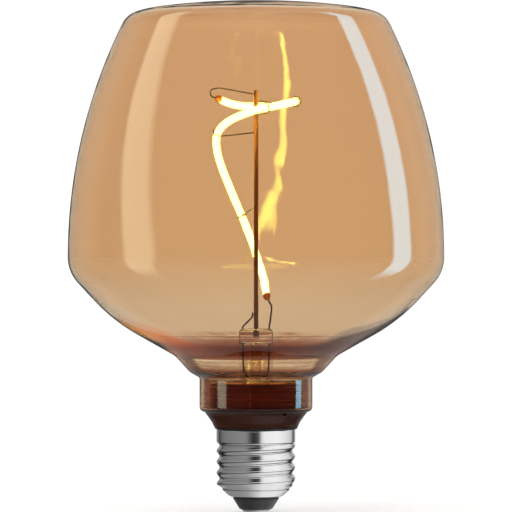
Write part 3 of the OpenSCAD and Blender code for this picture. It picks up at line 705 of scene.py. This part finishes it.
def buildWires():
    swept = {
        "top_arm": ("topArm", "hook"),
        "hook_left": ("hookLeft", "hook"),
        "hook_right": ("hookRight", "hook"),
        "hook_front": ("hookFront", "hook"),
        "hook_lower": ("hookLower", "hook"),
        "rod_lead_wire": ("rodLeadWire", "lead"),
        "filament_lead_wire": ("filamentLeadWire", "lead"),
        "top_terminal": ("topTerminal", "terminal"),
        "bottom_terminal": ("bottomTerminal", "terminal"),
    }
    made = {}
    for node, (name, kind) in swept.items():
        finish = ("terminal_copper", copper) if kind == "terminal" else ("wire_metal", wireMetal)
        made[name] = seatPiece(smoothCopy(name, node, wireGrow[kind]), *finish, [node])
    return made


buildFilament()
rodPiece = buildRod()
wirePieces = buildWires()
print("filament and wires done")

brownPlastic = solidMaterial("brownPlastic", (0.05, 0.014, 0.006), (0.034, 0.009, 0.004), 0.22, 0.36,
                             grainScale=1200, grainDepth=0.006, specular=0.25)
innerPlastic = solidMaterial("innerPlastic", (0.46, 0.09, 0.02), (0.36, 0.065, 0.015), 0.45, 0.6,
                             grainScale=1200, grainDepth=0.006)
housing = {
    "spigotRadius": 11.6, "spigotBore": 10.2, "spigotFoot": 10.5, "spigotBend": 0.2,
    "foot": 28.0, "footRadius": 13.95, "footBend": 0.15, "wall": 1.4,
    "waistRadius": 14.53, "waist": 29.45, "waistBend": 6.0,
    "flangeRadius": 17.0, "flange": 33.0, "flangeBend": 0.1, "flangeLip": 0.15,
    "tubeRadius": 14.6, "tubeTop": 41.8,
    "slotAngle": -56.0, "slotWidth": 1.4, "slotDepth": 0.6,     # the key slot in the flange
    "slotReach": 0.4, "slotLip": 0.3,      # how much of the flange's edge sinks, inwards and downwards
    "roundSteps": 192,
}


def crossesSlot(place):
    # whether a place at the flange's edge lies between the key slot's sides
    h = housing
    radius = place.xy.length / mm
    side = abs(math.atan2(place.y, place.x) - math.radians(h["slotAngle"])) * radius
    return side < h["slotWidth"] / 2 and radius > h["flangeRadius"] - h["slotReach"]


def buildHousing():
    h = housing
    bore, floor = h["tubeRadius"] - h["wall"], h["foot"] + h["wall"]
    corners = [
        (h["spigotBore"], h["spigotFoot"]), (h["spigotRadius"], h["spigotFoot"], h["spigotBend"]),
        (h["spigotRadius"], h["foot"]), (h["footRadius"], h["foot"], h["footBend"]),
        (h["waistRadius"], h["waist"], h["waistBend"]),
        (h["flangeRadius"], h["flange"] - h["flangeBend"], h["flangeBend"]),
        (h["flangeRadius"] - h["flangeLip"], h["flange"]), (h["tubeRadius"], h["flange"]),
        (h["tubeRadius"], h["tubeTop"]), (bore, h["tubeTop"]), (bore, floor), (h["spigotBore"], floor)]
    bm = spinOutline(roundedOutline(corners, closed=True), h["roundSteps"])
    for vert in bm.verts:
        if crossesSlot(vert.co) and vert.co.z > (h["flange"] - h["slotLip"]) * mm:
            vert.co.z -= h["slotDepth"] * mm
    piece = seatPiece(finishMesh(bm, "driverHousing"), "housing_plastic", brownPlastic, ["driver_housing"])
    piece.data.materials.append(innerPlastic)
    for face in piece.data.polygons:
        if face.center.z > (h["flange"] + h["flangeBend"]) * mm:
            face.material_index = 1
    return piece


housingPiece = buildHousing()

# bright orange: a painted highlight, the lit filament's glint on the parting line and the rings
paintedGlintPlastic = solidMaterial("paintedGlintPlastic", (1.0, 0.5, 0.24), (0.9, 0.4, 0.18), 0.35, 0.5,
                            grainScale=1200, grainDepth=0.006)
seamAndGlintRings = {
    "width": 0.4, "relief": 0.1, "sink": 0.05,
    "glintRingDrop": 2.6,       # from the upper painted glint ring to the lower one
    "footGap": 0.1,        # over the flange
    "stepAngle": 3.0,
}


def arcBar(bm, start, sweep, low, high):
    # a low bar that lies round the housing's tube; angles in degrees, heights in millimetres
    inner, outer = housing["tubeRadius"] - seamAndGlintRings["sink"], housing["tubeRadius"] + seamAndGlintRings["relief"]
    a = math.radians(start)
    section = [(inner, low), (outer, low), (outer, high), (inner, high)]
    verts = [bm.verts.new((r * mm * math.cos(a), r * mm * math.sin(a), z * mm)) for r, z in section]
    edges = [bm.edges.new((verts[i - 1], verts[i])) for i in range(len(verts))]
    caps = [bm.faces.new(verts)] if sweep < 360 else []
    bmesh.ops.spin(bm, geom=verts + edges + caps, cent=(0, 0, 0), axis=(0, 0, 1), dvec=(0, 0, 0),
                   angle=math.radians(sweep), steps=max(2, round(sweep / seamAndGlintRings["stepAngle"])),
                   use_merge=sweep >= 360, use_duplicate=False)


def buildSeamAndGlints():
    # the mould's parting line, and two rings round the tube that are painted highlights, where the lit
    # filament glints in the ribs
    m = seamAndGlintRings
    top = placeOnSurface("seamTop", housingPiece)
    foot = placeOnSurface("seamFoot", housingPiece)
    angle = math.degrees(math.atan2(top.y, top.x))
    turn = math.degrees(m["width"] / housing["tubeRadius"])
    bm = bmesh.new()
    arcBar(bm, angle - turn / 2, turn, max(foot.z / mm, housing["flange"] + m["footGap"]), top.z / mm)
    # the two painted highlight rings, where the lit filament glints
    for height in (top.z / mm, top.z / mm - m["glintRingDrop"]):
        arcBar(bm, angle, 360, height - m["width"] / 2, height + m["width"] / 2)
    return seatPiece(finishMesh(bm, "seamAndGlintRings"), "housing_plastic", paintedGlintPlastic)


seamAndGlintPiece = buildSeamAndGlints()
print("housing done")

plated = solidMaterial("platedCap", (0.9, 0.9, 0.91), (0.84, 0.84, 0.85), 0.05, 0.12, metallic=1.0,
                       grainScale=500, grainDepth=0.004, driftScale=60)
screwCap = {
    "crest": 13.1, "root": 12.15, "pitch": 3.629, "wall": 0.3,
    "threadFoot": 7.6, "threadTop": 23.2, "top": 27.4,
    "crestHeight": 10.95,                 # of a crest at the lamp's right
    "crestShape": 0.9,                    # less than 1 widens the crests
    "footDraw": 1.0, "footFade": 1.2,     # how far the foot is drawn in, and over what height
    "threadFade": 1.6, "rimFade": 1.5,    # over what height the thread begins and ends
    "rings": 128, "roundSteps": 128, "bendSteps": 8, "sharpAngle": 50.0,
    # the bowl under the thread: (radius, height, bend)
    "bowl": [(7.7, 4.6), (9.3, 5.4, 2.0), (11.15, 7.15, 0.8), (11.15, 7.6)],
    "rim": [24.2, 26.8, 27.4],
}


def threadRadius(angle, z):
    c = screwCap
    wave = ((1 + math.cos(math.tau * (z - c["crestHeight"]) / c["pitch"] - angle)) / 2) ** c["crestShape"]
    rise = ease((z - c["threadTop"] + c["rimFade"]) / c["rimFade"])
    foot = ease((c["threadFoot"] + c["footFade"] - z) / c["footFade"])
    lift = max(wave * ease((z - c["threadFoot"]) / c["threadFade"]), rise)
    return c["root"] + (c["crest"] - c["root"]) * lift - c["footDraw"] * foot


def buildCap():
    c = screwCap
    rise = (c["threadTop"] - c["threadFoot"]) / c["rings"]
    band = [(c["root"], c["threadFoot"] + rise * i) for i in range(1, c["rings"] + 1)]
    rim = [(c["crest"], z) for z in c["rim"]]
    outline = roundedOutline(c["bowl"], c["bendSteps"]) + band + rim
    bm = spinOutline(outline, c["roundSteps"], closed=False)
    for vert in bm.verts:
        z = vert.co.z / mm
        if c["threadFoot"] < z <= c["threadTop"] + slack:
            vert.co.xy *= threadRadius(math.atan2(vert.co.y, vert.co.x), z) * mm / vert.co.xy.length
    piece = finishMesh(bm, "capShell", c["sharpAngle"])
    sheet = piece.modifiers.new("sheet", "SOLIDIFY")
    sheet.thickness = c["wall"] * mm
    sheet.offset = -1
    return seatPiece(piece, "cap_metal", plated, ["cap_shell"])


vitrite = solidMaterial("vitrite", (0.02, 0.02, 0.022), (0.035, 0.033, 0.034), 0.12, 0.3,
                        grainScale=700, grainDepth=0.01, driftScale=150)
tin = solidMaterial("tinnedContact", (0.7, 0.69, 0.66), (0.5, 0.5, 0.48), 0.25, 0.45, metallic=1.0,
                    grainScale=700, grainDepth=0.015, driftScale=300)
beadRubber = solidMaterial("beadRubber", (0.008, 0.008, 0.009), (0.015, 0.014, 0.014), 0.3, 0.5,
                           grainScale=800, grainDepth=0.02)
insulator = {
    "bore": 1.55, "foot": 0.6, "faceRadius": 5.3, "faceBend": 1.2,
    "edgeRadius": 7.6, "edgeFoot": 4.2, "edgeTop": 4.6, "edgeBend": 0.3,
    "seatRadius": 7.25, "topRadius": 6.95, "top": 6.0,
    "roundSteps": 72,
}
contact = {
    "radius": 4.5, "edge": 0.45, "plate": 0.6, "shank": 1.5, "shankTop": 2.6, "bore": 1.1,
    "roundSteps": 64,
}
bead = {
    "foot": 27.4, "top": 28.0, "inner": 11.7,
    "roundCentre": (13.4, 27.7), "roundRadius": 0.3, "roundAngles": (-75.0, 75.0),
    "wavesFrom": 12.6,                  # the radius beyond which the waves begin
    # sideways: (share, waves in a turn, start), and the depth as a share of the radius
    "sideWaves": [(0.6, 7, 1.0), (0.5, 17, 2.5), (0.35, 41, 0.0)], "sideDepth": 0.006,
    "levelWaves": (0.12, 11, 0.7),      # up and down: (rise for each millimetre beyond, waves, start)
    "roundSteps": 160, "sideSteps": 10,
}


def buildInsulator():
    n = insulator
    outline = roundedOutline([
        (n["bore"], n["foot"]), (n["faceRadius"], n["foot"], n["faceBend"]),
        (n["edgeRadius"], n["edgeFoot"], n["edgeBend"]), (n["edgeRadius"], n["edgeTop"]),
        (n["seatRadius"], n["edgeTop"]), (n["topRadius"], n["top"]), (n["bore"], n["top"])], closed=True)
    bm = spinOutline(outline, n["roundSteps"])
    return seatPiece(finishMesh(bm, "capInsulator"), "insulator_black", vitrite, ["cap_insulator"])


def buildContact():
    t = contact
    outline = roundedOutline([
        (t["bore"], 0), (t["radius"], 0, t["edge"]), (t["radius"], t["plate"]), (t["shank"], t["plate"]),
        (t["shank"], t["shankTop"]), (t["bore"], t["shankTop"])], closed=True)
    bm = spinOutline(outline, t["roundSteps"])
    return seatPiece(finishMesh(bm, "centreContact"), "contact_tin", tin, ["centre_contact"])


def buildBead():
    # the bead is squeezed out unevenly, so its outer side waves in and out
    b = bead
    side = arcPoints(b["roundCentre"], b["roundRadius"], *b["roundAngles"], b["sideSteps"])
    bm = spinOutline([(b["inner"], b["foot"])] + side + [(b["inner"], b["top"])], b["roundSteps"])
    level, levelTurns, levelStart = b["levelWaves"]
    for vert in bm.verts:
        beyond = vert.co.xy.length / mm - b["wavesFrom"]
        if beyond > 0:
            a = math.atan2(vert.co.y, vert.co.x)
            wave = sum(share * math.sin(turns * a + start) for share, turns, start in b["sideWaves"])
            vert.co.xy *= 1 + wave * b["sideDepth"]
            vert.co.z += level * mm * math.sin(levelTurns * a + levelStart) * beyond
    return seatPiece(finishMesh(bm, "capSealant"), "sealant_black", beadRubber, ["cap_sealant"])


capPiece = buildCap()
buildInsulator()
contactPiece = buildContact()
buildBead()
print("cap done")

# finishes of the CAD nodes that stay
nodeFinishes = {
    "housing_cover": solidMaterial("coverPlastic", (0.24, 0.05, 0.014), (0.18, 0.035, 0.01), 0.45, 0.6),
    "neck_adhesive": solidMaterial("neckAdhesive", (0.22, 0.1, 0.05), (0.16, 0.07, 0.035), 0.5, 0.7,
                                   grainScale=300, grainDepth=0.05),
    "contact_solder": solidMaterial("solder", (0.6, 0.6, 0.61), (0.42, 0.42, 0.43), 0.15, 0.3, metallic=1.0,
                                    grainScale=500, grainDepth=0.02),
    "driver_board": solidMaterial("boardGreen", (0.02, 0.2, 0.08), (0.015, 0.15, 0.06), 0.25, 0.4),
    "bridge_rectifier": solidMaterial("chipBlack", (0.015, 0.015, 0.016), (0.025, 0.024, 0.024), 0.5, 0.65,
                                      grainScale=2500, grainDepth=0.01),
    "bulk_capacitor": solidMaterial("capacitorSleeve", (0.02, 0.02, 0.12), (0.03, 0.03, 0.16), 0.2, 0.35),
    "film_capacitor": solidMaterial("filmBox", (0.6, 0.35, 0.04), (0.5, 0.28, 0.03), 0.3, 0.45),
    "varistor": solidMaterial("varistorBlue", (0.03, 0.12, 0.35), (0.02, 0.09, 0.28), 0.3, 0.5,
                              grainScale=400, grainDepth=0.04),
    "inductor_core": solidMaterial("ferrite", (0.05, 0.05, 0.055), (0.08, 0.08, 0.085), 0.55, 0.75,
                                   grainScale=2500, grainDepth=0.02),
    "inductor_winding": solidMaterial("enamelWire", (0.6, 0.22, 0.06), (0.45, 0.15, 0.04), 0.2, 0.35,
                                      metallic=1.0),
    "smd_parts": solidMaterial("chipParts", (0.35, 0.26, 0.17), (0.16, 0.15, 0.15), 0.35, 0.55,
                               driftScale=200),
    "radio_board": solidMaterial("boardBlue", (0.02, 0.05, 0.2), (0.015, 0.04, 0.15), 0.25, 0.4),
    "radio_shield": solidMaterial("shieldMetal", (0.7, 0.7, 0.71), (0.6, 0.6, 0.61), 0.25, 0.4, metallic=1.0),
    "antenna": solidMaterial("platedTrack", (0.75, 0.5, 0.2), (0.65, 0.42, 0.16), 0.2, 0.35, metallic=1.0),
    "fusible_resistor": solidMaterial("resistorSleeve", (0.06, 0.3, 0.16), (0.04, 0.24, 0.12), 0.35, 0.5),
    "live_wire": solidMaterial("tinnedWire", (0.6, 0.6, 0.62), (0.5, 0.5, 0.52), 0.2, 0.35, metallic=1.0),
    "neutral_wire": solidMaterial("leadSleeve", (0.03, 0.03, 0.032), (0.05, 0.05, 0.05), 0.4, 0.55),
}
nodeFinishes["driver_ic"] = nodeFinishes["bridge_rectifier"]
nodeFinishes["pin_header"] = nodeFinishes["bridge_rectifier"]


def dressNodes():
    for node, material in nodeFinishes.items():
        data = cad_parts[node].data
        data.materials.clear()
        data.materials.append(material)


dressNodes()
print("inner nodes dressed")

# the studio, in metres; a zone is where a change starts and ends: on the table and on the ring of
# cards it counts from the lamp's axis, and in the room it's a part of a direction of length 1
studio = {
    "floorDrop": 0.0004,      # the floor lies just under the centre contact
    "floorSize": 12.0,
    "floorGlow": 0.42, "floorTint": 0.8,
    "skyLevel": 0.85,
    "backLevel": 1.1,         # the sky seen straight, as bright as the far floor
    "ceiling": 0.8, "ceilingZone": (0.75, 0.9),        # upward
    "warmth": (0.2, 0.08, 0.035),    # what light that turned inside the glass sees in front of the lamp
    "behindZone": (0.3, 0.7),        # backward: where that passes over into the pale wall behind it
    "tableDim": 0.2, "tableZone": (0.026, 0.036),      # the table under the cap is dimmer beyond this
    "bowlLevel": 0.3, "bowlZone": (0.069, 0.0701),     # the table as the bowl's underside mirrors it
    "wideZone": (0.085, 0.24),       # where the table passes over into the wall's cards
    "flagRadius": 0.07, "flagHeight": 0.0322, "flagHole": 0.0165, "flagSteps": 96,     # the ring of cards
    "roofZone": (0.03, 0.04), "wallZone": (0.0695, 0.0699),
    # the bowl's shoulder mirrors the floor from a place of its own: its share of the way aside, up to
    # its reach, and how far in front of the axis it lies
    "shoulderSide": 0.45, "shoulderReach": 0.1, "shoulderFront": 0.042,
    "leftLean": 0.63,                # how far the left softbox leans back with its height
}
softboxLeft = {
    "place": (-0.9, -0.5, 0.5), "target": (0, 0, 0.09), "size": (0.6, 0.9), "power": 3.0,
}
lightBounces = {"all": 24, "transmission": 24, "glossy": 12}
# what shiny surfaces see round the lamp: (degrees from the camera, positive to its right; level or colour)
# low down, where the cap and the housing mirror it
lowCards = [
    (-180, 0.95), (-168, 0.4), (-152, 0.3), (-134, 0.2), (-127, 0.08), (-121, 0.05), (-115, 0.12),
    (-100, 0.18), (-84, 0.21), (-62, 0.23), (-33, 0.26), (-24, 0.22), (-16, 0.1), (-8, 0.03),
    (0, 0.05), (7, 0.1), (11, 0.35), (14, 0.65), (22, 0.93), (59, 1.0), (84, 0.87), (104, 0.73),
    (116, 0.56), (123, 0.25), (128, 0.08), (135, 0.18), (145, 0.45), (160, 0.7), (180, 0.95)]
# in the room, with a softbox on each side
highCards = [
    (-180, 0.08), (-166, 0.1), (-152, 0.15), (-130, 0.2), (-112, 0.22), (-88, 0.12), (-84, (4.0, 3.8, 2.7)),
    (-66, (4.0, 3.8, 2.7)), (-61, 0.1), (-16, 0.08), (0, 0.04), (60, 0.08), (90.5, 0.1),
    (92.5, (3.2, 7.4, 9.6)), (107, (2.5, 5.8, 7.4)), (109, 0.4), (122, 0.4), (134, 0.2), (147, 0.3),
    (157, 0.15), (168, 0.1), (180, 0.08)]
# on the table close to the cap
tableCards = [
    (-180, 0.9), (-150, 0.5), (-125, 0.25), (-60, 0.27), (-25, 0.35), (0, 0.6), (20, 0.85), (60, 0.92),
    (100, 0.75), (122, 0.4), (140, 0.5), (180, 0.9)]
# under the roof of the ring of cards
roofCards = [
    (-180, 0.9), (-150, 0.4), (-125, 0.2), (-60, 0.29), (-25, 0.4), (0, 0.75), (20, 0.88), (60, 0.92),
    (100, 0.7), (122, 0.3), (140, 0.5), (180, 0.9)]


def gray(level):
    return level, level, level, 1


def makeCards():
    # the cards and softboxes round the lamp, by direction
    rings = {"Low": lowCards, "High": highCards, "Table": tableCards, "Roof": roofCards}
    group, given, result = effectGroup("studioCards", {}, {label: "NodeSocketColor" for label in rings})
    group.interface.new_socket(name="Direction", in_out="INPUT", socket_type="NodeSocketVector")
    axes = splitAxes(group, given.outputs["Direction"])
    turn = joinValues(group, "ARCTAN2", axes["X"], joinValues(group, "MULTIPLY", axes["Y"], -1))
    share = addNode(group, "MapRange", {"Value": turn, "From Min": -math.pi, "From Max": math.pi})
    for label, levels in rings.items():
        # the ramp's stops hold each colour as a share of the brightest level
        colors = [level if isinstance(level, tuple) else (level,) * 3 for _, level in levels]
        brightest = max(max(color) for color in colors)
        stops = [((angle + 180) / 360, [part / brightest for part in color])
                 for (angle, _), color in zip(levels, colors)]
        ramp = colorRamp(group, share.outputs["Result"], stops)
        setInputs(group, result, {label: joinVectors(group, "MULTIPLY", ramp, (brightest,) * 3)})
    return group


studioCards = makeCards()


def reachMask(tree, zone):
    # 0 nearer to the lamp's axis than the zone and 1 beyond it
    level = joinVectors(tree, "MULTIPLY", objectPlace(tree), (1, 1, 0))
    reach = addNode(tree, "VectorMath", {0: level}, operation="LENGTH").outputs["Value"]
    return smoothRange(tree, reach, zone)


def seenFromShoulder(tree):
    # where a place on the floor lies for the part of the bowl that mirrors it
    axes = splitAxes(tree, objectPlace(tree))
    reach, side = studio["shoulderReach"], studio["shoulderSide"] * studio["shoulderReach"]
    shift = addNode(tree, "MapRange", {"Value": axes["X"], "From Min": -reach, "From Max": reach,
                                       "To Min": -side, "To Max": side}).outputs["Result"]
    return addNode(tree, "CombineXYZ", {
        "X": joinValues(tree, "SUBTRACT", axes["X"], shift),
        "Y": joinValues(tree, "ADD", axes["Y"], studio["shoulderFront"])}).outputs["Vector"]


def backdropGlow(tree, direction):
    # for light that turned inside the glass: pale behind the lamp and dim in front of it
    behind = smoothRange(tree, splitAxes(tree, direction)["Y"], studio["behindZone"])
    return mixColors(tree, behind, (*studio["warmth"], 1), gray(1))


def stagePiece(bm, name, material):
    mesh = bpy.data.meshes.new(name)
    bm.to_mesh(mesh)
    bm.free()
    mesh.materials.append(material)
    piece = bpy.data.objects.new(name, mesh)
    scene.collection.objects.link(piece)
    return piece


def paintedTable(tree):
    # the floor as reflections see it
    s = studio
    cards = addEffect(tree, studioCards, Direction=objectPlace(tree))
    wide = addEffect(tree, studioCards, Direction=seenFromShoulder(tree))["High"]
    dim = joinVectors(tree, "MULTIPLY", cards["Low"], (s["tableDim"],) * 3)
    table = mixColors(tree, reachMask(tree, s["tableZone"]), cards["Table"], dim)
    table = mixColors(tree, reachMask(tree, s["bowlZone"]), table, gray(s["bowlLevel"]))
    return mixColors(tree, reachMask(tree, s["wideZone"]), table, wide)


def buildFloor():
    bm = bmesh.new()
    bmesh.ops.create_grid(bm, x_segments=1, y_segments=1, size=studio["floorSize"] / 2)
    bmesh.ops.translate(bm, verts=bm.verts, vec=(0, 0, -studio["floorDrop"]))
    material, tree, shader = newMaterial("paleFloor")
    straight, inner, reflected = rayMasks(tree)
    direction = addNode(tree, "VectorMath", {0: objectPlace(tree)}, operation="NORMALIZE").outputs["Vector"]
    glow = mixColors(tree, straight, gray(0), gray(studio["floorGlow"]))
    glow = mixColors(tree, inner, glow, backdropGlow(tree, direction))
    glow = mixColors(tree, reflected, glow, paintedTable(tree))
    own = joinValues(tree, "ADD", inner, reflected)
    setInputs(tree, shader, {"Base Color": mixColors(tree, own, gray(studio["floorTint"]), gray(0)),
                             "Roughness": 0.9, "Specular IOR Level": 0,
                             "Emission Color": glow, "Emission Strength": 1})
    return stagePiece(bm, "floor", material)


def buildFlag():
    # a black-out ring of cards round the cap, which only reflections see
    s = studio
    r, h, hole = s["flagRadius"] / mm, s["flagHeight"] / mm, s["flagHole"] / mm
    bm = spinOutline([(r, -s["floorDrop"] / mm), (r, h), (hole, h)], s["flagSteps"], closed=False)
    bmesh.ops.recalc_face_normals(bm, faces=bm.faces)
    material, tree, shader = newMaterial("capCards")
    cards = addEffect(tree, studioCards, Direction=objectPlace(tree))
    inside = mixColors(tree, reachMask(tree, s["roofZone"]), cards["Low"], cards["Roof"])
    inside = mixColors(tree, reachMask(tree, s["wallZone"]), inside, cards["Low"])
    back = addNode(tree, "NewGeometry").outputs["Backfacing"]
    setInputs(tree, shader, {"Base Color": gray(0), "Specular IOR Level": 0, "Emission Strength": 1,
                             "Emission Color": mixColors(tree, back, gray(s["bowlLevel"]), inside)})
    clear = addNode(tree, "BsdfTransparent").outputs["BSDF"]
    shown = addNode(tree, "MixShader", {"Fac": rayMasks(tree)[2], 1: clear, 2: shader.outputs["BSDF"]})
    setInputs(tree, tree.nodes["Material Output"], {"Surface": shown.outputs["Shader"]})
    piece = stagePiece(bm, "capCards", material)
    piece.visible_camera = False
    piece.visible_diffuse = False
    piece.visible_shadow = False
    return piece


def buildWorld():
    world = bpy.data.worlds.new("studio")
    world.use_nodes = True
    scene.world = world
    tree = world.node_tree
    direction = addNode(tree, "TexCoord").outputs["Generated"]
    axes = splitAxes(tree, direction)
    # the left softbox leans back, so its cards are looked up further forward the higher they are
    left = joinValues(tree, "MULTIPLY", joinValues(tree, "MINIMUM", axes["X"], 0), axes["Z"])
    forward = joinValues(tree, "ADD", axes["Y"], joinValues(tree, "MULTIPLY", left, studio["leftLean"]))
    leaned = addNode(tree, "CombineXYZ", {"X": axes["X"], "Y": forward}).outputs["Vector"]
    wall = addEffect(tree, studioCards, Direction=leaned)["High"]
    dome = mixColors(tree, smoothRange(tree, axes["Z"], studio["ceilingZone"]), wall, gray(studio["ceiling"]))
    straight, inner, reflected = rayMasks(tree)
    sky = mixColors(tree, straight, gray(studio["skyLevel"]), gray(studio["backLevel"]))
    sky = mixColors(tree, inner, sky, backdropGlow(tree, direction))
    setInputs(tree, tree.nodes["Background"], {"Color": mixColors(tree, reflected, sky, dome)})


def addSoftbox(name, box):
    # a lamp that lights the dull surfaces only
    data = bpy.data.lights.new(name, "AREA")
    data.shape = "RECTANGLE"
    data.size, data.size_y = box["size"]
    data.energy = box["power"]
    panel = bpy.data.objects.new(name, data)
    panel.location = box["place"]
    away = Vector(box["place"]) - Vector(box["target"])
    panel.rotation_euler = away.to_track_quat("Z", "Y").to_euler()
    panel.visible_camera = False
    panel.visible_glossy = False
    panel.visible_transmission = False
    scene.collection.objects.link(panel)


buildFloor()
buildFlag()
buildWorld()
addSoftbox("softboxLeft", softboxLeft)
scene.cycles.max_bounces = lightBounces["all"]
scene.cycles.transmission_bounces = lightBounces["transmission"]
scene.cycles.glossy_bounces = lightBounces["glossy"]
print("studio done")

# which part of a hook is its eye: (hook, its side, how far from the axis in millimetres)
eyeParts = {
    "rightEye": ("hookRight", 1, 10.6), "leftEye": ("hookLeft", -1, 10.3), "lowerEye": ("hookLower", -1, 3.0),
}


def shownPlaces(piece, keep=None):
    # where a finished piece's vertices show; keep says which of them count
    shape = piece.evaluated_get(bpy.context.evaluated_depsgraph_get())
    mesh = shape.to_mesh()
    places = [piece.matrix_world @ vert.co for vert in mesh.vertices]
    shape.to_mesh_clear()
    return [photoPlace(place) for place in places if keep is None or keep(place)]


def edgesOf(places):
    xs = [x for x, _ in places]
    ys = [y for _, y in places]
    return min(xs), max(xs), min(ys), max(ys)


def middle(places):
    left, right, top, bottom = edgesOf(places)
    return (left + right) / 2, (top + bottom) / 2


def onSeam(place, top):
    # on the front of the parting line, up to its top
    beside = abs(place.x - top.x) / mm
    above = (place.z - top.z) / mm
    return place.y < 0 and beside < seamAndGlintRings["width"] and above < seamAndGlintRings["sink"]


def onNotch(place):
    # at the edge of the lowered part of the flange
    depth = housing["flange"] - place.z / mm
    return crossesSlot(place) and abs(depth - housing["slotDepth"]) < housing["slotLip"]


def findShown():
    glass = shownPlaces(envelopePiece)
    left, right, top, _ = edgesOf(glass)
    shown = {"leftEdge": (left, None), "rightEdge": (right, None), "topEdge": (None, top),
             "bottomEdge": (None, edgesOf(shownPlaces(contactPiece))[3])}
    for name, piece in (("rodTop", rodPiece), ("stemTop", stemPiece)):
        places = shownPlaces(piece)
        shown[name] = (middle(places)[0], edgesOf(places)[2])
    for name in ("topTerminal", "bottomTerminal"):
        shown[name] = middle(shownPlaces(wirePieces[name]))
    for name, (hook, side, start) in eyeParts.items():
        shown[name] = middle(shownPlaces(wirePieces[hook], lambda place: place.x * side > start * mm))
    neckFoot, neckTop = envelope["neckFoot"] * mm, (envelope["neckTop"] - envelope["neckBend"]) * mm
    collar = edgesOf(shownPlaces(envelopePiece, lambda place: neckFoot < place.z < neckTop))
    rim = edgesOf(shownPlaces(capPiece, lambda place: place.z > screwCap["threadTop"] * mm))
    for name, edges in (("collar", collar), ("rim", rim)):
        shown[name + "Left"], shown[name + "Right"] = (edges[0], None), (edges[1], None)
    seamTop = placeOnSurface("seamTop", housingPiece)
    seam = shownPlaces(seamAndGlintPiece, lambda place: onSeam(place, seamTop))
    shown["seamTop"] = (middle(seam)[0], edgesOf(seam)[2])
    shown["seamFoot"] = (middle(seam)[0], edgesOf(seam)[3])
    shown["notch"] = middle(shownPlaces(housingPiece, onNotch))
    return shown


def writePoints():
    shown = findShown()


writePoints()
bpy.context.view_layer.update()
